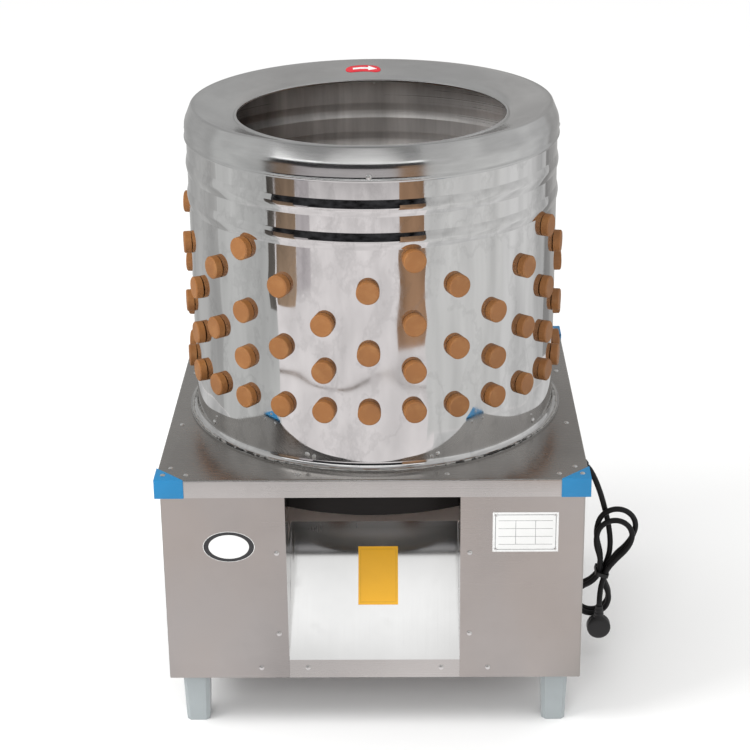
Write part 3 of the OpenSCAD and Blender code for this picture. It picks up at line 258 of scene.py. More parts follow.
# rubber: colour clouds, a pale bloom and a fine grain
def rubberFinish(name, tint, bloom, rough=0.55, grain=0.00012, specular=0.5):
    p = Paint(name)
    clouds = p.noise(p.place(), 11.0, 3.0, 0.5)
    fine = p.noise(p.place(), 420.0, 4.0, 0.6)
    dust = p.noise(p.place(), 60.0, 4.0, 0.6)
    colour = p.blend(p.spread(clouds, 0.3, 0.7), shaded(tint, 0.82), shaded(tint, 1.12))
    colour = p.blend(p.spread(dust, 0.5, 0.8) * 0.35, colour, bloom)
    return p.finish(colour=colour, rough=rough + (fine - 0.5) * 0.2 + (dust - 0.5) * 0.12,
                    normal=p.bump(fine, grain, 0.4), specular=specular)


# moulded plastic: a fine skin texture and slight wear
def plasticFinish(name, tint, rough=0.4, skin=0.00008, wear=0.12):
    p = Paint(name)
    fine = p.noise(p.place(), 900.0, 3.0, 0.6)
    patches = p.noise(p.place(), 18.0, 5.0, 0.6)
    worn = tuple(min(1, c * 0.6 + 0.03) for c in tint)
    colour = p.blend(p.spread(patches, 0.4, 0.75) * wear, tint, worn)
    return p.finish(colour=colour, rough=rough + (patches - 0.5) * 0.18 + (fine - 0.5) * 0.08,
                    normal=p.bump(fine, skin, 0.35))


# cast iron: a grainy skin with rust-brown breath
def castFinish(name, tint, rough=0.55):
    p = Paint(name)
    grit = p.noise(p.place(), 320.0, 5.0, 0.65)
    rust = p.noise(p.place(), 21.0, 5.0, 0.6)
    colour = p.blend(p.spread(rust, 0.52, 0.8) * 0.5, tint, (0.16, 0.09, 0.05))
    return p.finish(colour=colour, metal=0.75, rough=rough + (grit - 0.5) * 0.25,
                    normal=p.bump(grit, 0.0003, 0.5))


# sprayed paint: orange peel, dust and a little dirt
def paintFinish(name, tint, rough=0.4):
    p = Paint(name)
    peel = p.noise(p.place(), 260.0, 2.0, 0.5)
    dirt = p.noise(p.place(), 14.0, 5.0, 0.65)
    colour = p.blend(p.spread(dirt, 0.5, 0.8) * 0.4, tint, tuple(c * 0.5 + 0.02 for c in tint))
    return p.finish(colour=colour, rough=rough + (dirt - 0.5) * 0.2, coat=0.15,
                    normal=p.bump(peel, 0.00012, 0.4))


# weld bead: bright steel, darker in stretches about 0.72 rad either side of the front and of the back
def weldFinish(name, steel, darkSteel):
    p = Paint(name)
    x, y, z = p.axes()
    turn = abs(x).calc("ARCTAN2", abs(y))
    stretch = p.noise(p.join(x * 60.0, y * 60.0, z * 30.0), 1.0, 3.0, 0.6)
    grit = p.noise(p.place(), 260.0, 4.0, 0.65)
    dark = p.spread(stretch + (grit - 0.5) * 0.4 - abs(turn - 0.72) * 0.9, 0.24, 0.36)
    return p.finish(colour=p.blend(dark, steel, darkSteel), metal=p.spread(dark, 0.0, 1.0, 1.0, 0.35),
                    rough=0.3 + dark * 0.3, normal=p.bump(grit, 0.0006, 0.7))


# ruled plate, measured from the middle of a node's box: a frame line set in from the edge, and blank
# table lines
def ruledFinish(name, node, ground, ink, inset, rows):
    p = Paint(name)
    low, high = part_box(node)
    x, y, z = p.axes()
    mid, half = [(low[i] + high[i]) / 2 for i in range(3)], [(high[i] - low[i]) / 2 for i in range(3)]
    across, up = abs(x - mid[0]), z - mid[2]
    edge = abs((across - (half[0] - inset)).top(abs(up) - (half[2] - inset)))
    frameLine, tableLine = 0.00045, 0.0003
    lines = edge < frameLine
    if rows:
        inside, pitch = across < half[0] - 2.2 * inset, 1.2 * half[2] / rows
        for k in range(rows + 1):
            lines = lines.top((abs(up - (k * pitch - 0.62 * half[2])) < tableLine) * inside)
        upright = (abs(across - 0.3 * half[0]) < tableLine) * (abs(up + 0.02 * half[2]) < 0.6 * half[2])
        lines = lines.top(upright)
    worn = p.noise(p.place(), 700.0, 3.0, 0.6)
    haze = p.noise(p.place(), 40.0, 4.0, 0.6)
    paper = p.blend(p.spread(haze, 0.3, 0.8) * 0.3, ground, shaded(ground, 0.86))
    return p.finish(colour=p.blend(lines * p.spread(worn, 0.25, 0.5, 0.5, 0.9), paper, ink),
                    rough=0.36 + (haze - 0.5) * 0.2, normal=p.bump(worn, 0.00003, 0.4))


# oval badge: a pale middle inside a plain dark ring, from the ellipse (x/a)^2 + (z/b)^2
def ovalFinish(name, node, ground, ink):
    p = Paint(name)
    low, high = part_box(node)
    x, y, z = p.axes()
    across = (x - (low[0] + high[0]) / 2) / ((high[0] - low[0]) / 2)
    up = (z - (low[2] + high[2]) / 2) / ((high[2] - low[2]) / 2)
    spread = across * across + up * up
    fine = p.noise(p.place(), 600.0, 3.0, 0.6)
    ringed = p.spread(spread, 0.60, 0.63) * p.spread(spread, 0.95, 0.97, 1.0, 0.0)
    return p.finish(colour=p.blend(ringed, ground, ink), rough=0.34 + (fine - 0.5) * 0.15,
                    normal=p.bump(fine, 0.00003, 0.4))


finishes = {
    "drum": mirrorFinish("drumPolish", (0.80, 0.795, 0.79), 0.03),
    # painted shade: the drum's inside is painted darker towards its left (-x) side
    "drumInside": spunFinish("drumInsideSatin", (0.93, 0.90, 0.875), 0.30, 500.0, metal=0.65,
                             streak=(26.0, 3.0), low=0.62,
                             paintedShade={"from": -0.04, "to": -0.19, "share": 0.10}),
    "rim": spunFinish("rimSpun", (0.74, 0.74, 0.735), 0.18, 900.0, 0.000006),
    # painted shade: the collar's outer face is painted nearly black, for the shade it sits in under the
    # plate
    "collar": spunFinish("collarPaintedShade", (0.036, 0.034, 0.033), 0.46, 700.0),
    "flange": spunFinish("flangeSatin", (0.56, 0.55, 0.54), 0.24, 700.0),
    "pan": spunFinish("panSatin", (0.95, 0.84, 0.79), 0.50, 500.0, metal=0.2),
    "collarInside": spunFinish("collarInsideSatin", (0.46, 0.45, 0.44), 0.38, 500.0, metal=0.7),
    "disc": spunFinish("discSatin", (0.60, 0.60, 0.59), 0.30, 600.0, metal=0.7),
    "panel": steelFinish("panelSatin", (0.565, 0.545, 0.528), 0.30, (4.0, 4.0, 900.0), cloud=0.12,
                         wave=0.0006, shade=0.84, warm=0.45),
    "plate": steelFinish("plateSatin", (0.44, 0.42, 0.40), 0.26, (4.0, 900.0, 60.0), wave=0.0004),
    "apron": steelFinish("apronSatin", (0.70, 0.685, 0.665), 0.28, (4.0, 4.0, 900.0), wave=0.0004),
    # painted shade: the chute's upper part, under the drum, is painted darker by height
    "chute": steelFinish("chuteBright", (0.86, 0.86, 0.855), 0.09, (700.0, 5.0, 5.0), cloud=0.06,
                         wave=0.0003, paintedShadeAndDull={"from": 0.221, "to": 0.243, "share": 0.40, "rough": 0.16}),
    "chuteSide": steelFinish("chuteSideSatin", (0.60, 0.59, 0.58), 0.22, (4.0, 4.0, 700.0)),
    "frame": steelFinish("frameMill", (0.42, 0.43, 0.435), 0.42, (60.0, 60.0, 14.0), cloud=0.2),
    "fastener": steelFinish("fastenerBright", (0.88, 0.88, 0.87), 0.34, (160.0, 160.0, 160.0)),
    "shaft": spunFinish("shaftGround", (0.63, 0.63, 0.63), 0.22, 1500.0),
    "weld": weldFinish("footWeld", (0.66, 0.65, 0.63), (0.045, 0.042, 0.04)),
    "cast": castFinish("castGrey", (0.16, 0.165, 0.175)),
    "motor": paintFinish("motorBlueGrey", (0.05, 0.085, 0.13)),
    "cap": plasticFinish("capBlue", (0.003, 0.19, 0.42), 0.42, 0.0001, 0.1),
    "foot": plasticFinish("footPale", (0.35, 0.385, 0.395), 0.46, 0.0001, 0.25),
    "finger": rubberFinish("fingerAmber", (0.282, 0.110, 0.025), (0.44, 0.222, 0.075)),
    "belt": rubberFinish("beltBlack", (0.02, 0.02, 0.021), (0.07, 0.065, 0.06), 0.65),
    "black": plasticFinish("blackPlastic", (0.009, 0.009, 0.010), 0.44),
    "cord": rubberFinish("cordBlack", (0.006, 0.006, 0.007), (0.016, 0.016, 0.016), 0.46, 0.00006, 0.32),
    "green": plasticFinish("greenButton", (0.03, 0.28, 0.07), 0.28),
    "red": plasticFinish("redGloss", (0.62, 0.02, 0.035), 0.25),
    "white": plasticFinish("whitePrint", (0.82, 0.82, 0.81), 0.35),
    "yellow": ruledFinish("yellowLabel", "blank_label", (0.88, 0.45, 0.014), (0.70, 0.35, 0.01),
                          0.003, 0),
    "badge": ovalFinish("ovalBadge", "oval_badge", (0.78, 0.78, 0.77), (0.03, 0.03, 0.032)),
    "nameplate": ruledFinish("nameplateRuled", "rating_plate", (0.74, 0.74, 0.73), (0.10, 0.10, 0.11),
                             0.0035, 3),
    "pin": steelFinish("pinNickel", (0.66, 0.63, 0.56), 0.22, (90.0, 90.0, 90.0)),
}

# the finish of every node of the frame
nodeFinish = {
    "drum": ["drum_shell"],
    "rim": ["rim_cover"],
    "collar": ["drum_collar"],
    "pan": ["feather_pan"],
    "disc": ["turntable_disc", "sweepers"],
    "panel": ["left_shell", "right_shell", "rear_panel"],
    "plate": ["top_plate"],
    "chute": ["chute_floor"],
    "chuteSide": ["chute_walls"],
    "frame": ["frame_posts", "lower_rails", "upper_rails", "cross_beams"],
    "fastener": ["top_plate_rivets", "panel_screws", "rating_rivets", "drum_screws", "hub_bolts",
                 "shaft_nut", "housing_bolts", "motor_bolts"],
    "shaft": ["main_shaft", "motor_shaft", "bearings"],
    "cast": ["hub", "driven_pulley", "motor_pulley", "bearing_housing"],
    "motor": ["motor_body", "motor_fan_cover", "motor_bracket"],
    "cap": ["corner_caps"],
    "foot": ["feet"],
    "finger": ["drum_fingers_row_1", "drum_fingers_row_2", "drum_fingers_row_3", "drum_fingers_row_4",
               "drum_fingers_row_5", "drum_fingers_row_6", "disc_fingers"],
    "belt": ["v_belt"],
    "black": ["motor_fan", "terminal_box", "switch_box", "cord_gland", "plug", "cord_tie"],
    "cord": ["cord_lead", "cord_hank"],
    "green": ["start_button"],
    "red": ["stop_button", "arrow_plate"],
    "white": ["arrow_mark"],
    "badge": ["oval_badge"],
    "yellow": ["blank_label"],
    "nameplate": ["rating_plate"],
}
for finishName, members in nodeFinish.items():
    for member in members:
        nodes[member].data.materials.clear()
        nodes[member].data.materials.append(finishes[finishName])
print("finishes:", len(finishes), "on", sum(len(m) for m in nodeFinish.values()), "nodes")


# quads between neighbours on a rows by columns grid
def gridFaces(rows, cols, wrapRows, wrapCols):
    r, c = np.meshgrid(np.arange(rows if wrapRows else rows - 1),
                       np.arange(cols if wrapCols else cols - 1), indexing="ij")
    r2, c2 = (r + 1) % rows, (c + 1) % cols
    return np.stack([r * cols + c, r * cols + c2, r2 * cols + c2, r2 * cols + c], -1).reshape(-1, 4)


# a finished mesh becomes a piece that rides on its body
def addPiece(name, mesh, finish, body="machine", replaces=()):
    mesh.materials.clear()
    mesh.materials.append(finishes[finish])
    piece = bpy.data.objects.new(name, mesh)
    bpy.context.scene.collection.objects.link(piece)
    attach(piece, body)
    if replaces:
        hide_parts(*replaces)
    return piece


# one piece from one or more grids of points (rows, columns, 3), each with its wraps
def makePiece(name, grids, finish, replaces=(), sharp=35.0):
    points, faces, count = [], [], 0
    for grid, wrapRows, wrapCols in grids:
        faces.append(gridFaces(grid.shape[0], grid.shape[1], wrapRows, wrapCols) + count)
        points.append(grid.reshape(-1, 3))
        count += len(points[-1])
    mesh = bpy.data.meshes.new(name)
    mesh.from_pydata(np.concatenate(points).tolist(), [], np.concatenate(faces).tolist())
    work = bmesh.new()
    work.from_mesh(mesh)
    bmesh.ops.remove_doubles(work, verts=work.verts, dist=1e-6)
    bmesh.ops.dissolve_degenerate(work, dist=1e-7, edges=work.edges)
    bmesh.ops.recalc_face_normals(work, faces=work.faces)
    work.to_mesh(mesh)
    work.free()
    mesh.polygons.foreach_set("use_smooth", np.ones(len(mesh.polygons), bool))
    mesh.set_sharp_from_angle(angle=math.radians(sharp))
    return addPiece(name, mesh, finish, replaces=replaces)


# a profile of (radius, height) turned round the z axis; closed profiles wrap
def turned(profile, segments, wrap=True):
    angle = np.linspace(0, 2 * np.pi, segments, endpoint=False)
    r, z = np.asarray(profile, float).T
    grid = np.stack([r[:, None] * np.cos(angle), r[:, None] * np.sin(angle),
                     np.broadcast_to(z[:, None], (len(r), segments))], -1)
    return grid, wrap, True


# a smooth curve through points: four-point blend with even shares
def smoothPath(points, parts):
    p = np.asarray(points, float)
    p = np.concatenate([[2 * p[0] - p[1]], p, [2 * p[-1] - p[-2]]])
    t = (np.arange(parts) / parts)[None, :, None]
    a, b, c, d = (p[i:len(p) - 3 + i, None, :] for i in range(4))
    curve = 0.5 * (2 * b + (c - a) * t + (2 * a - 5 * b + 4 * c - d) * t ** 2
                   + (3 * b - a - 3 * c + d) * t ** 3)
    return np.concatenate([curve.reshape(-1, 3), p[-2][None]])


# a round or shaped section carried along a path; the first side axis is square to y
def carried(path, section):
    way = np.gradient(path, axis=0)
    way /= np.linalg.norm(way, axis=1, keepdims=True)
    across = np.cross(way, [0.0, 1.0, 0.0])
    across /= np.linalg.norm(across, axis=1, keepdims=True)
    over = np.cross(across, way)
    return (path[:, None, :] + section[None, :, :1] * across[:, None, :]
            + section[None, :, 1:] * over[:, None, :])


# a circle of points, from its cosine and sine
def ring(radius, sides):
    turn = np.linspace(0, 2 * np.pi, sides, endpoint=False)
    return np.stack([radius * np.cos(turn), radius * np.sin(turn)], -1)


# closes both ends of a carried tube by drawing its last rings together
def closedTube(grid):
    return np.concatenate([grid[:1].mean(1, keepdims=True).repeat(grid.shape[1], 1), grid,
                           grid[-1:].mean(1, keepdims=True).repeat(grid.shape[1], 1)])


# mains cord: the same route as the solids, in millimetres here and metres once made
cordPlan = {
    "diameter": 0.008,
    "lead": [(298.4, -44, 284), (304, -44, 277.3), (310, -44, 266.5), (316, -44, 252.5),
             (321.5, -44, 236.5), (326.5, -44, 219), (331, -44.5, 201), (334.5, -46, 183),
             (336.2, -48.5, 166), (335.6, -50, 152)],
    "waist": (324, -50, 123.6), "lean": 16.0, "half": 4.2, "step": 9.2, "start": 12.8, "straight": 9.6,
    "climbFrom": 38, "climbRun": 20,
    "loops": [(-1, 68, 24), (1, 99, 27), (-1, 70, 24), (1, 85, 25)],
    "tail": [(324.2, -69.1, 109.4), (322.6, -71.2, 103.2), (321.5, -74.5, 97.5), (320.7, -77.8, 91.8),
             (320.2, -79.9, 85.6), (320, -80.6, 79)],
    "exit": (0.2984, -0.044, 0.284),
}


# hank: each loop leaves the waist on two equal bends, folds on a half circle and comes back the same
# way, climbing half a layer on its return, from climbFrom over climbRun
def hankRoute(plan):
    lean = math.radians(plan["lean"])
    up = np.array([math.sin(lean), 0, math.cos(lean)])
    side = np.array([math.cos(lean), 0, -math.sin(lean)])
    ease = lambda q: (1 - np.cos(np.pi * np.clip(q, 0, 1))) / 2
    bow = lambda q: np.where(q < 0.5, 2 * q * q, 1 - 2 * (1 - q) ** 2)

    def climb(away):
        return ease((plan["climbFrom"] - away) / plan["climbRun"])

    def at(u, v, layer):
        u, v, layer = np.broadcast_arrays(u, v, layer)
        return (np.array(plan["waist"]) + u[:, None] * up + v[:, None] * side
                + layer[:, None] * plan["step"] * np.array([0, -1.0, 0]))

    def loop(n):
        way, reach, fold = plan["loops"][n]
        run, half, out = reach - fold, plan["half"], 1 if way < 0 else -1
        q, turn = np.arange(16) / 16, np.radians(np.linspace(0, 180, 37))
        width = lambda s: half + (fold - half) * bow(s)
        back = q[:0:-1]
        return np.concatenate([
            at(way * run * q, out * width(q), np.array(n / 2)),
            at(way * (run + fold * np.sin(turn)), out * fold * np.cos(turn), np.array(n / 2)),
            at(way * run * back, -out * width(back), n / 2 + climb(run * back) / 2)])

    def onSide(u, layer):
        return at(np.array([u]), np.array([plan["half"]]), np.array([layer]))

    count, parts = len(plan["loops"]), 6
    start = onSide(plan["start"], 0.0)
    straight = onSide(plan["start"] + plan["straight"], 0.0)
    lead = smoothPath(np.concatenate([plan["lead"], straight, start]), parts)
    hank = np.concatenate([loop(n) for n in range(count)])
    tail = smoothPath(np.concatenate([onSide(0.0, count / 2), plan["tail"]]), parts)
    return np.concatenate([lead, hank, tail]) / 1000


# side-entry plug: a rounded disc body r = R (1 - |t|^6)^(1/6) with grips round its edge, a ribbed sleeve
# and two pins
plugPlan = {"centre": (0.320, -0.0806, 0.046), "radius": 0.017, "half": 0.009, "grips": 26,
            "gripDeep": 0.035, "sleeveLow": 0.012, "sleeveHigh": 0.033, "sleeveFrom": 0.008,
            "sleeveTo": 0.0052, "ribs": 4, "ribDeep": 0.0007, "pinGap": 0.0095, "pinRadius": 0.0024,
            "pinRoot": 0.008, "pinEnd": 0.026}


def plugGrids(plan):
    centre = np.array(plan["centre"])
    across = np.sin(np.linspace(-np.pi / 2, np.pi / 2, 31))
    turn = np.linspace(0, 2 * np.pi, 104, endpoint=False)
    bulge = np.clip(1 - np.abs(across) ** 6, 0, 1) ** (1 / 6)
    grip = 1 - plan["gripDeep"] * (np.cos(plan["grips"] * turn) > 0.2) * (np.abs(across) < 0.5)[:, None]
    r = plan["radius"] * bulge[:, None] * grip
    depth = np.broadcast_to((plan["half"] * across)[:, None], r.shape)
    body = np.stack([r * np.cos(turn), depth, r * np.sin(turn)], -1)

    up = np.linspace(0, 1, 41)
    taper = plan["sleeveFrom"] + (plan["sleeveTo"] - plan["sleeveFrom"]) * up
    taper -= plan["ribDeep"] * (np.sin(2 * np.pi * plan["ribs"] * up) > 0.35) * (up > 0.2)
    height = plan["sleeveLow"] + (plan["sleeveHigh"] - plan["sleeveLow"]) * up
    sleeveProfile = np.stack([np.r_[0, taper, 0], np.r_[height[0], height, height[-1]]], -1)
    sleeve = turned(sleeveProfile, 32, wrap=False)[0]

    tip = np.linspace(0, np.pi / 2, 6)
    shaft = np.r_[plan["pinRoot"], plan["pinEnd"] - plan["pinRadius"] * (1 - np.sin(tip))]
    pinRadii = np.r_[0, plan["pinRadius"], plan["pinRadius"] * np.cos(tip)]
    pin = turned(np.stack([pinRadii, np.r_[shaft[0], shaft]], -1), 20, wrap=False)[0]
    pin = pin[..., [0, 2, 1]]    # laid over, along y
    pins = [pin + [side * plan["pinGap"], 0, 0] + centre for side in (-1, 1)]
    bodyGrids = [(body + centre, False, True), (sleeve + centre, False, True)]
    return bodyGrids, [(p, False, True) for p in pins]


# tie, in millimetres: room round the cords, half the band's thickness and height, and how far it tilts
tiePlan = {"room": 1.2, "halfThick": 0.55, "halfTall": 2.9, "tilt": 0.5}


# tie: a flat band round the waist, a rounded box loop (|u/a|^8 + |v/b|^8 = 1) that carries the band's
# section
def tieGrid(plan, cord):
    lean, layers = math.radians(cord["lean"]), len(cord["loops"]) / 2 * cord["step"]
    reachOut = 500 * cord["diameter"] + plan["room"]
    wide, deep = cord["half"] + reachOut, layers / 2 + reachOut
    turn = np.linspace(0, 2 * np.pi, 72, endpoint=False)
    size = (np.abs(np.cos(turn) / wide) ** 8 + np.abs(np.sin(turn) / deep) ** 8) ** (-1 / 8)
    t = np.linspace(0, 2 * np.pi, 16, endpoint=False)
    thick = plan["halfThick"] * np.sign(np.cos(t)) * np.abs(np.cos(t)) ** 0.5
    tall = plan["halfTall"] * np.sign(np.sin(t)) * np.abs(np.sin(t)) ** 0.35
    reach = size[:, None] + thick
    side, deepWay = reach * np.cos(turn)[:, None], reach * np.sin(turn)[:, None]
    height = np.broadcast_to(tall, reach.shape) + plan["tilt"] * np.sin(turn)[:, None]
    x = side * math.cos(lean) + height * math.sin(lean)
    z = height * math.cos(lean) - side * math.sin(lean)
    return (np.stack([x, deepWay - layers / 2, z], -1) + np.array(cord["waist"])) / 1000


plugBodyGrids, plugPinGrids = plugGrids(plugPlan)
plugBody = makePiece("plugBody", plugBodyGrids, "black", replaces=("plug",))
plugPins = makePiece("plugPins", plugPinGrids, "pin")
cordTie = makePiece("cordTie", [(tieGrid(tiePlan, cordPlan), True, True)], "black",
                    replaces=("cord_tie",))

cordRoute = hankRoute(cordPlan)
cordTube = closedTube(carried(cordRoute, ring(cordPlan["diameter"] / 2, 12)))
cordPiece = makePiece("mainsCord", [(cordTube, False, True)], "cord",
                      replaces=("cord_lead", "cord_hank"))


# drum: ripples are waves round the sheet as (turns, per metre of height, start, share); they fade over
# calmRun below calmHeight, and the sheet is plain as far as plainLow and plainTop from its two ends
drumPlan = {"radius": 0.25, "wall": 0.0012, "low": 0.374, "top": 0.780, "segments": 300,
            "beads": (0.6838, 0.7268), "beadWidth": 0.022, "beadOut": 0.0021,
            "beside": (0.0004, 0.0012, 0.004), "flare": 0.007, "flareHeight": 0.009, "waves": 0.00014,
            "ripples": ((5, 9, 0.7, 1.0), (9, -21, 2.1, 0.8), (14, 34, 4.0, 0.6), (23, 5, 1.1, 0.5)),
            "calmHeight": 0.70, "calmRun": 0.12, "plainLow": 0.012, "plainTop": 0.02, "plainRun": 0.03,
            "dimple": 0.0003, "dimpleReach": 0.030, "columns": 27, "columnTurn": math.radians(-0.65),
            "rowLow": 0.454, "rowHigh": 0.6585, "rowShares": (0, 0.268, 0.395, 0.581, 0.805, 1)}


# finger places on the drum: angle and height, the same pattern as the holes
def fingerPlaces(plan):
    half = (plan["columns"] - 1) // 2
    k = np.arange(-half, half)
    odd, rest = np.abs(k) % 2 == 1, np.abs(k) % 2 == 0
    masks = [np.ones(len(k), bool), odd, rest, odd, rest, (k - 1) % 4 == 0]
    front = plan["columnTurn"] - np.pi / 2
    angle = np.concatenate([k[m] * 2 * np.pi / plan["columns"] + front for m in masks])
    rows = plan["rowLow"] + (plan["rowHigh"] - plan["rowLow"]) * np.array(plan["rowShares"])
    height = np.concatenate([np.full(m.sum(), z) for m, z in zip(masks, rows)])
    return angle, height


# drum wall: radius plus beads of the form 1 - |s| ** 1.5 and an elliptic flare at the foot, then slow
# waves of the sheet and a shallow dent round each finger; the inner face is the same surface one wall
# further in
def drumSurface(plan):
    low, top, halfBead = plan["low"], plan["top"], plan["beadWidth"] / 2
    bend = np.linspace(0, 1, 10)[:-1] ** 1.5 * plan["flareHeight"] + low
    flat = np.linspace(low + plan["flareHeight"], plan["beads"][0] - halfBead, 64)
    beads = np.concatenate([np.linspace(b - halfBead, b + halfBead, 31) for b in plan["beads"]])
    # rows that keep the beads' edges crisp
    beside = np.concatenate([b + side * (halfBead + np.array(plan["beside"]))
                             for b in plan["beads"] for side in (-1, 1)])
    above = np.linspace(beads.max() + 0.006, top, 10)
    z = np.unique(np.round(np.concatenate([bend, flat, beads, beside, above]), 6))
    share = np.clip(1 - (z - low) / plan["flareHeight"], 0, 1)
    radius = plan["radius"] + plan["flare"] * (1 - np.sqrt(np.clip(1 - share ** 2, 0, 1)))
    for crest in plan["beads"]:
        radius += plan["beadOut"] * (1 - np.clip(np.abs(z - crest) / halfBead, 0, 1) ** 1.5)

    a, h = np.linspace(0, 2 * np.pi, plan["segments"], endpoint=False)[None, :], z[:, None]
    waves = sum(share * np.sin(turns * a + rise * h + start)
                for turns, rise, start, share in plan["ripples"])
    waves = waves * plan["waves"] * np.clip((plan["calmHeight"] - h) / plan["calmRun"], 0.25, 1.6)
    fingerAngle, fingerHeight = fingerPlaces(plan)
    apart = np.abs((a[..., None] - fingerAngle + np.pi) % (2 * np.pi) - np.pi) * plan["radius"]
    gap = np.sqrt(apart ** 2 + (h[..., None] - fingerHeight) ** 2)
    dents = -(plan["dimple"] * np.exp(-(gap / plan["dimpleReach"] * 1.6) ** 2)).sum(-1)
    calm = (np.clip((z - low - plan["plainLow"]) / plan["plainRun"], 0, 1)
            * np.clip((top - plan["plainTop"] - z) / plan["plainRun"], 0, 1))
    outer = radius[:, None] + (waves + dents) * calm[:, None]
    r = np.concatenate([outer, (outer - plan["wall"])[::-1]])
    heights = np.concatenate([z, z[::-1]])[:, None]
    return np.stack([r * np.cos(a), r * np.sin(a), np.broadcast_to(heights, r.shape)], -1)


# faces turned towards the z axis: place times normal, over x and y, is below -least
def inward(centres, normals, least=0.0):
    return (centres[:, :2] * normals[:, :2]).sum(1) < -least


# faces picked by their centre and normal take a second finish
def secondFinish(piece, finish, pick):
    mesh = piece.data
    mesh.materials.append(finishes[finish])
    centres, normals = np.empty((len(mesh.polygons), 3)), np.empty((len(mesh.polygons), 3))
    mesh.polygons.foreach_get("center", centres.ravel())
    mesh.polygons.foreach_get("normal", normals.ravel())
    index = np.empty(len(mesh.polygons), np.int32)
    mesh.polygons.foreach_get("material_index", index)
    last = len(mesh.materials) - 1
    mesh.polygons.foreach_set("material_index", np.where(pick(centres, normals), last, index))


drumSkin = makePiece("drumSkin", [(drumSurface(drumPlan), True, True)], "drum",
                     replaces=("drum_shell",), sharp=60)
secondFinish(drumSkin, "drumInside", inward)

# weld round the drum's foot: wide is its width for its height, wander how far it strays
footWeldPlan = {"radius": 0.2572, "height": 0.3746, "bead": 0.0011, "segments": 720, "wide": 1.4,
                "wander": 0.35}


# weld: an oval bead whose thickness changes along the ring as a sum of sines
def footWeldGrid(plan):
    turn = np.linspace(0, 2 * np.pi, plan["segments"], endpoint=False)[:, None]
    t = np.linspace(0, 2 * np.pi, 10, endpoint=False)
    swell = (1 + 0.22 * np.sin(61 * turn + 1.3 * np.sin(7 * turn)) + 0.18 * np.sin(143 * turn + 0.6)
             + 0.2 * np.sin(17 * turn))
    stray = plan["wander"] * np.sin(23 * turn)
    r = plan["radius"] + plan["bead"] * (stray + swell * plan["wide"] * np.cos(t))
    z = plan["height"] + plan["bead"] * swell * np.sin(t)
    return np.stack([r * np.cos(turn), r * np.sin(turn), z], -1)


makePiece("footWeld", [(footWeldGrid(footWeldPlan), True, True)], "weld")

# lap seam at the drum's back: spots is the weld spots' pitch, sunk how far the strip starts inside the
# sheet
seamPlan = {"half": 0.013, "step": 0.0007, "low": 0.388, "high": 0.668, "spots": 0.028,
            "spotReach": 0.0035, "spotShare": 0.28, "spotDeep": 0.0004, "edge": 0.12, "proud": 0.0001,
            "sunk": 0.0003}


# seam: a thin strip r = wall + step, its edges eased down, with a row of dents shaped like exp(-d * d)
def seamGrid(plan, drum):
    z = np.linspace(plan["low"], plan["high"], 150)[:, None]
    s = np.linspace(-1, 1, 25)
    fromSpot = (z - plan["low"]) % plan["spots"] - plan["spots"] / 2
    spot = np.exp(-(fromSpot / plan["spotReach"]) ** 2 - (s / plan["spotShare"]) ** 2)
    lift = plan["step"] * np.clip((1 - np.abs(s)) / plan["edge"], 0.05, 1) - plan["spotDeep"] * spot
    under = np.full(spot.shape, drum["radius"] - plan["sunk"])
    r = np.concatenate([drum["radius"] + plan["proud"] + lift, under], 1)
    turn = np.pi / 2 + np.concatenate([s, s[::-1]]) * plan["half"] / drum["radius"]
    return closedTube(np.stack([r * np.cos(turn), r * np.sin(turn), np.broadcast_to(z, r.shape)], -1))


makePiece("drumSeam", [(seamGrid(seamPlan, drumPlan), False, True)], "drum", sharp=60)
print("drum made")


rimPlan = {"mouth": 0.181, "roll": 0.0025, "crestRadius": 0.240, "crest": 0.805, "dip": 0.018,
           "bendDrop": 0.0275, "crestBend": 0.004, "skirtBend": 0.025, "skirt": 0.0445, "outside": 0.252,
           "sheet": 0.0012, "hem": 0.0010, "hemTall": 0.0048, "segments": 256}


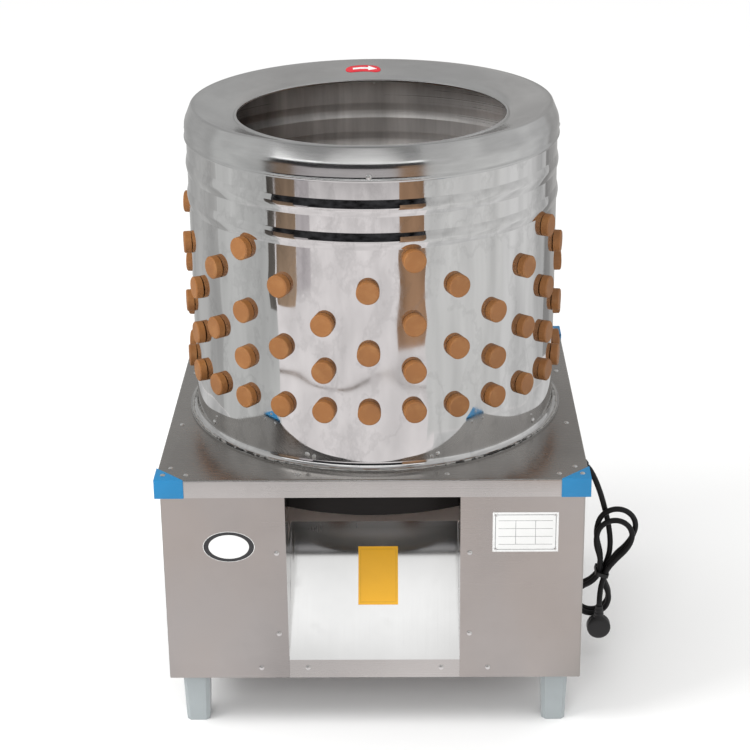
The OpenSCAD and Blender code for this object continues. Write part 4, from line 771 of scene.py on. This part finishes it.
# rim profile: a skirt with a half-sine hem, an arc round the bend, a straight slope, an arc over the
# crest, a straight dish, a rolled edge, and back along the underside
def rimProfile(plan):
    bendCentre = np.array([plan["outside"] - plan["skirtBend"], plan["crest"] - plan["bendDrop"]])
    crestCentre = np.array([plan["crestRadius"], plan["crest"] - plan["crestBend"]])
    way = crestCentre - bendCentre
    lessBend = plan["skirtBend"] - plan["crestBend"]
    slope = math.atan2(-way[0], way[1]) + math.asin(lessBend / math.hypot(*way))
    low = plan["crest"] - plan["skirt"]
    rollCentre = np.array([plan["mouth"] + plan["roll"], plan["crest"] - plan["dip"]])

    def arc(centre, radius, start, end, parts):
        turn = np.linspace(start, end, parts)
        return centre + radius * np.stack([np.cos(turn), np.sin(turn)], -1)

    def shoulder(inset):
        return np.concatenate([arc(bendCentre, plan["skirtBend"] - inset, 0, slope, 17),
                               arc(crestCentre, plan["crestBend"] - inset, slope, math.radians(99), 13)])

    outer, inner = shoulder(0.0), shoulder(plan["sheet"])
    half = np.array([0, plan["sheet"] / 2])
    share = np.linspace(0, 1, 12)[1:-1, None]
    dishTop = outer[-1] * (1 - share) + (rollCentre + half) * share
    curl = np.radians(np.linspace(14, 346, 28))
    roll = rollCentre + plan["roll"] * np.stack([np.cos(curl), np.sin(curl)], -1)
    dishLow = (rollCentre - half) * (1 - share) + inner[-1] * share
    dishTop, dishLow = dishTop[:-1], dishLow[1:]
    hem = np.linspace(0, 1, 10)
    hemTop = low + plan["hemTall"]
    skirt = np.concatenate([low + plan["hemTall"] * hem, np.linspace(hemTop, bendCentre[1], 6)[1:-1]])
    bulge = plan["hem"] * np.concatenate([np.sin(np.pi * hem), np.zeros(4)])
    outSkirt = np.stack([plan["outside"] + bulge, skirt], -1)
    inSkirt = np.stack([np.full(len(skirt), plan["outside"] - plan["sheet"]), skirt[::-1]], -1)
    return np.concatenate([outSkirt, outer, dishTop, roll, dishLow, inner[::-1], inSkirt])


makePiece("rimSkin", [turned(rimProfile(rimPlan), rimPlan["segments"])], "rim",
          replaces=("rim_cover",), sharp=50)
print("rim made")


# copy of a node with its sharp edges rounded: outer bends by radius, inner bends by radius less the
# sheet; only faces smaller than smoothTo are shaded smooth
def bentCopy(name, node, finish, slot, radius, sheet=0.0, leastFace=0.0, body="machine", steps=5,
             smoothTo=0.0004):
    flatTo, sharpFrom, creaseFrom = math.radians(0.6), math.radians(50), math.radians(32)
    leastBend = 0.0003
    mesh = nodes[node].data.copy()
    mesh.name = name
    work = bmesh.new()
    work.from_mesh(mesh)
    bmesh.ops.remove_doubles(work, verts=work.verts, dist=1e-5)
    bmesh.ops.dissolve_limit(work, angle_limit=flatTo, verts=work.verts, edges=work.edges)

    def bends(outer):
        return [e for e in work.edges if len(e.link_faces) == 2 and e.calc_face_angle() > sharpFrom
                and min(f.calc_area() for f in e.link_faces) > leastFace and e.is_convex == outer]

    def roundOff(outer, offset):
        bmesh.ops.bevel(work, geom=bends(outer), offset=offset, segments=steps, profile=0.5,
                        affect="EDGES", clamp_overlap=True)

    if radius:
        roundOff(True, radius)
    if sheet:
        roundOff(False, max(radius - sheet, leastBend))
    bmesh.ops.recalc_face_normals(work, faces=work.faces)
    work.to_mesh(mesh)
    work.free()
    wide = np.empty(len(mesh.polygons))
    mesh.polygons.foreach_get("area", wide)
    mesh.polygons.foreach_set("use_smooth", wide < smoothTo)
    mesh.set_sharp_from_angle(angle=creaseFrom)
    return addPiece(name, mesh, finish, body, (node,))


# rounded copies: sheet pieces bend only between wide faces, mouldings on every sharp edge
bentPlans = [
    {"name": "topPlateBent", "node": "top_plate", "finish": "plate", "slot": "plate_steel",
     "radius": 0.0022, "sheet": 0.0015, "leastFace": 0.004},
    {"name": "leftShellBent", "node": "left_shell", "finish": "panel", "slot": "panel_steel",
     "radius": 0.0022, "sheet": 0.0012, "leastFace": 0.004},
    {"name": "rightShellBent", "node": "right_shell", "finish": "panel", "slot": "panel_steel",
     "radius": 0.0022, "sheet": 0.0012, "leastFace": 0.004},
    {"name": "chuteFloorBent", "node": "chute_floor", "finish": "chute", "slot": "chute_steel",
     "radius": 0.0020, "sheet": 0.0012, "leastFace": 0.001},
    {"name": "capsRounded", "node": "corner_caps", "finish": "cap", "slot": "cap_blue",
     "radius": 0.0006},
    {"name": "feetRounded", "node": "feet", "finish": "foot", "slot": "foot_plastic",
     "radius": 0.0025},
    {"name": "switchRounded", "node": "switch_box", "finish": "black", "slot": "black_plastic",
     "radius": 0.0006},
    {"name": "startRounded", "node": "start_button", "finish": "green", "slot": "green_plastic",
     "radius": 0.0010, "body": "start_push"},
    {"name": "stopRounded", "node": "stop_button", "finish": "red", "slot": "red_plastic",
     "radius": 0.0010, "body": "stop_push"},
    {"name": "terminalRounded", "node": "terminal_box", "finish": "black", "slot": "black_plastic",
     "radius": 0.0025},
    {"name": "collarDressed", "node": "drum_collar", "finish": "collar", "slot": "collar_steel",
     "radius": 0.0, "smoothTo": 1.0},
    {"name": "ratingRounded", "node": "rating_plate", "finish": "nameplate", "slot": "plate_aluminium",
     "radius": 0.0002},
]
bentPieces = {bentPlan["name"]: bentCopy(**bentPlan) for bentPlan in bentPlans}

# second finishes: the chute's front face, the plate's turned-down edge, the collar's flange and inside
flangeHeight, turnedIn = 0.3717, 0.1
secondFinish(bentPieces["chuteFloorBent"], "apron", lambda c, n: n[:, 1] < -0.9)
secondFinish(bentPieces["topPlateBent"], "apron", lambda c, n: np.abs(n[:, 2]) < 0.5)
secondFinish(bentPieces["collarDressed"], "flange", lambda c, n: c[:, 2] > flangeHeight)
secondFinish(bentPieces["collarDressed"], "collarInside", lambda c, n: inward(c, n, turnedIn))
print("rounded copies:", len(bentPlans))


# arrow and its plate, arched on the rim's slope: cut across into strips, then each point moves along the
# slope by sag * (1/3 - s * s), where s runs from -1 to 1 over the plate's length
archPlan = {"sag": 0.0050, "slope": (0.956, 0.292), "width": 0.80, "slide": -0.003, "cuts": 24}


def archedCopy(name, node, finish, plan, slide):
    low, high = [np.array(v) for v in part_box("arrow_plate")]
    middle, half = (low + high) / 2, (high[0] - low[0]) / 2
    mesh = nodes[node].data.copy()
    work = bmesh.new()
    work.from_mesh(mesh)
    bmesh.ops.remove_doubles(work, verts=work.verts, dist=1e-6)
    for x in np.linspace(low[0], high[0], plan["cuts"])[1:-1]:
        geometry = work.verts[:] + work.edges[:] + work.faces[:]
        bmesh.ops.bisect_plane(work, geom=geometry, plane_co=(x, 0, 0), plane_no=(1, 0, 0))
    work.to_mesh(mesh)
    work.free()
    points = np.empty((len(mesh.vertices), 3))
    mesh.vertices.foreach_get("co", points.ravel())
    points[:, 0] += slide
    along = np.array([0.0, *plan["slope"]])
    s = (points[:, 0] - middle[0]) / half
    move = plan["sag"] * (1 / 3 - s * s) + (plan["width"] - 1) * ((points - middle) @ along)
    mesh.vertices.foreach_set("co", (points + move[:, None] * along).ravel())
    addPiece(name, mesh, finish, replaces=(node,))


archedCopy("arrowPlateArched", "arrow_plate", "red", archPlan, 0.0)
archedCopy("arrowArched", "arrow_mark", "white", archPlan, archPlan["slide"])
print("arrow arched")


# stage: the floor's colour and half width, and the strength of the air's even light
stagePlan = {"floor": (0.97, 0.97, 0.965), "half": 40.0, "air": 1.02}

# cards of a light tent, seen only in reflections: azimuth from the front in degrees (left is negative),
# radius and heights in metres, glow in linear colour at the foot and at the top, patch gives how uneven
# it is
tentWalls = [
    {"name": "cardBackLeft", "from": -178, "to": -100, "radius": 1.15, "low": 0.0, "high": 2.2,
     "glow": (0.44, 0.44, 0.435), "top": (0.40, 0.40, 0.40), "patch": 0.2},
    {"name": "cardLeft", "from": -100, "to": -55, "radius": 1.15, "low": 0.0, "high": 2.2,
     "glow": (0.55, 0.555, 0.55), "top": (0.50, 0.50, 0.50), "patch": 0.2},
    {"name": "duskLeft", "from": -59, "to": -54.5, "radius": 1.1, "low": 0.265, "high": 0.72,
     "glow": (0.24, 0.22, 0.20), "top": (0.07, 0.06, 0.055), "patch": 0.9},
    {"name": "warmLeft", "from": -54.5, "to": -42, "radius": 1.25, "low": 0.235, "high": 0.72,
     "glow": (0.42, 0.30, 0.21), "top": (0.16, 0.11, 0.08), "patch": 0.6},
    {"name": "paleLeft", "from": -42, "to": -34, "radius": 1.3, "low": 0.24, "high": 0.6,
     "glow": (0.52, 0.485, 0.50), "top": (0.44, 0.41, 0.42), "patch": 0.5},
    {"name": "darkFront", "from": -72, "to": 48, "radius": 3.6, "low": 0.0, "high": 2.25,
     "glow": (0.022, 0.022, 0.024), "top": (0.03, 0.03, 0.032), "patch": 0.9},
    {"name": "warmRight", "from": 15.5, "to": 29, "radius": 1.3, "low": 0.13, "high": 0.78,
     "glow": (0.34, 0.20, 0.12), "top": (0.30, 0.19, 0.12), "patch": 0.5},
    {"name": "cardRight", "from": 29, "to": 80, "radius": 1.2, "low": 0.0, "high": 2.2,
     "glow": (0.60, 0.60, 0.595), "top": (0.54, 0.54, 0.54), "patch": 0.25},
    {"name": "cardBackRight", "from": 80, "to": 125, "radius": 1.2, "low": 0.0, "high": 2.2,
     "glow": (0.62, 0.62, 0.62), "top": (0.46, 0.46, 0.46), "patch": 0.25},
    {"name": "cardBack", "from": 125, "to": 182, "radius": 1.3, "low": 0.0, "high": 2.2,
     "glow": (0.34, 0.335, 0.33), "top": (0.44, 0.435, 0.43), "patch": 0.3},
    {"name": "lineFront", "from": -80, "to": 80, "radius": 2.6, "low": 1.48, "high": 1.86,
     "glow": (1.7, 1.7, 1.7), "top": (1.7, 1.7, 1.7), "patch": 0.2},
]
# level sheets of the tent: the glow changes from the centre to the rim between the two fade radii
tentSheets = [
    {"name": "cardRoof", "radius": 4.4, "height": 2.26, "centre": (0.0, 0.7), "fade": (0.8, 1.7),
     "glow": (0.46, 0.46, 0.46), "rim": (0.24, 0.24, 0.24), "patch": 0.2},
    {"name": "cardFloor", "radius": 4.8, "height": 0.002, "centre": (0.0, 0.0), "fade": (2.45, 3.1),
     "glow": (0.79, 0.755, 0.76), "rim": (0.40, 0.38, 0.385), "patch": 0.14},
    {"name": "cardChute", "radius": 0.26, "height": 1.12, "centre": (-0.07, -0.985), "stretch": 1.7,
     "fade": (0.05, 0.27), "glow": (1.10, 1.10, 1.10), "rim": (0.64, 0.635, 0.63), "patch": 0.05},
]
# flat strips on the floor: an arc between two radii, of one glow
floorStrips = [
    {"name": "floorLine", "from": -63, "to": 30, "inside": 1.455, "outside": 1.480, "height": 0.004,
     "glow": (0.16, 0.125, 0.10), "patch": 0.8},
    {"name": "floorLeft", "from": -178, "to": -58, "inside": 0.42, "outside": 1.14, "height": 0.004,
     "glow": (0.54, 0.54, 0.54), "patch": 0.2},
    {"name": "floorRight", "from": 33, "to": 178, "inside": 0.42, "outside": 1.19, "height": 0.004,
     "glow": (0.60, 0.60, 0.60), "patch": 0.2},
]


# glow of one card: along its height, outwards from its centre, or even, with soft patches
def glowFinish(plan):
    p = Paint(plan["name"])
    x, y, z = p.axes()
    base = (*plan["glow"], 1.0)
    if "fade" in plan:
        across, deep = (x - plan["centre"][0]) / plan.get("stretch", 1), y - plan["centre"][1]
        out = (across ** 2 + deep ** 2) ** 0.5
        base = p.blend(p.spread(out, *plan["fade"]), plan["glow"], plan["rim"])
    elif "top" in plan:
        base = p.blend(p.spread(z, plan["low"], plan["high"]), plan["glow"], plan["top"])
    cloud = p.noise(p.join(x * 2.6, y * 2.6, z * 1.2), 1.0, 3.0, 0.55)
    strength = p.spread(cloud, 0.3, 0.7, max(0, 1 - plan["patch"]), 1 + plan["patch"])
    return p.show(p.node("ShaderNodeEmission", inputs={"Color": base, "Strength": strength}))


# stage sheet from a grid of points; a card is seen only in reflections
def stageSheet(name, grid, material, onlyGlossy):
    mesh = bpy.data.meshes.new(name)
    mesh.from_pydata(grid.reshape(-1, 3).tolist(), [], gridFaces(*grid.shape[:2], False, False).tolist())
    mesh.materials.append(material)
    sheet = bpy.data.objects.new(name, mesh)
    bpy.context.scene.collection.objects.link(sheet)
    if onlyGlossy:
        for ray in ("camera", "diffuse", "shadow", "transmission"):
            setattr(sheet, "visible_" + ray, False)


# wall of the tent: an arc about the z axis, upright
def arcWall(plan):
    turn = np.radians(np.linspace(plan["from"], plan["to"], 40))
    x, y = plan["radius"] * np.sin(turn), -plan["radius"] * np.cos(turn)
    return np.stack([np.stack([x, y, np.full(len(turn), z)], -1) for z in (plan["low"], plan["high"])])


# flat sheet of the tent: rings about its centre out to the radius
def discSheet(plan):
    turn = np.linspace(0, 2 * np.pi, 65)
    r = np.linspace(0.0002, plan["radius"], 8)[:, None]    # a pinhole is left at the centre
    centre = plan["centre"]
    x = r * np.sin(turn) * plan.get("stretch", 1) + centre[0]
    return np.stack([x, r * np.cos(turn) + centre[1], 0 * r * turn + plan["height"]], -1)


# flat strip of the floor: an arc between two radii
def arcStrip(plan):
    turn = np.radians(np.linspace(plan["from"], plan["to"], 60))
    r = np.array([[plan["inside"]], [plan["outside"]]])
    return np.stack([r * np.sin(turn), -r * np.cos(turn), 0 * r * turn + plan["height"]], -1)


# the floor, with a faint change of tone, and all the cards
def makeStage(plan):
    p = Paint("paleFloor")
    tone = p.noise(p.place(), 0.8, 2.0, 0.4)
    p.finish(colour=p.blend(tone, shaded(plan["floor"], 0.985), plan["floor"]), rough=0.7, specular=0.0)
    h = plan["half"]
    corners = np.array([[(-h, -h, 0), (h, -h, 0)], [(-h, h, 0), (h, h, 0)]], float)
    stageSheet("floor", corners, p.material, False)
    for maker, cards in ((arcWall, tentWalls), (discSheet, tentSheets), (arcStrip, floorStrips)):
        for card in cards:
            stageSheet(card["name"], maker(card), glowFinish(card), True)


# soft lamps: place and aim in metres, size of the lit field, power in watts
lampPlans = [
    {"name": "softLeft", "place": (-1.75, -0.9, 2.1), "aim": (0.08, 0.02, 0.55), "size": 1.2,
     "power": 34},
    {"name": "softFront", "place": (-0.55, -2.6, 1.75), "aim": (0, 0, 0.42), "size": 0.7,
     "power": 11},
]


def makeLamp(plan):
    lamp = bpy.data.lights.new(plan["name"], "AREA")
    lamp.shape, lamp.size, lamp.energy = "SQUARE", plan["size"], plan["power"]
    light = bpy.data.objects.new(plan["name"], lamp)
    bpy.context.scene.collection.objects.link(light)
    light.location = plan["place"]
    ahead = Vector(plan["aim"]) - Vector(plan["place"])
    light.rotation_euler = ahead.to_track_quat("-Z", "Y").to_euler()
    light.visible_glossy = False


# even white light from all round
def makeWorld(strength):
    world = bpy.data.worlds.new("studioAir")
    bpy.context.scene.world = world
    world.use_nodes = True
    back = world.node_tree.nodes["Background"]
    back.inputs[0].default_value, back.inputs[1].default_value = (1.0, 1.0, 1.0, 1.0), strength


makeStage(stagePlan)
makeWorld(stagePlan["air"])
for lampPlan in lampPlans:
    makeLamp(lampPlan)
bpy.context.scene.view_settings.view_transform = "Standard"
print("stage and light set")
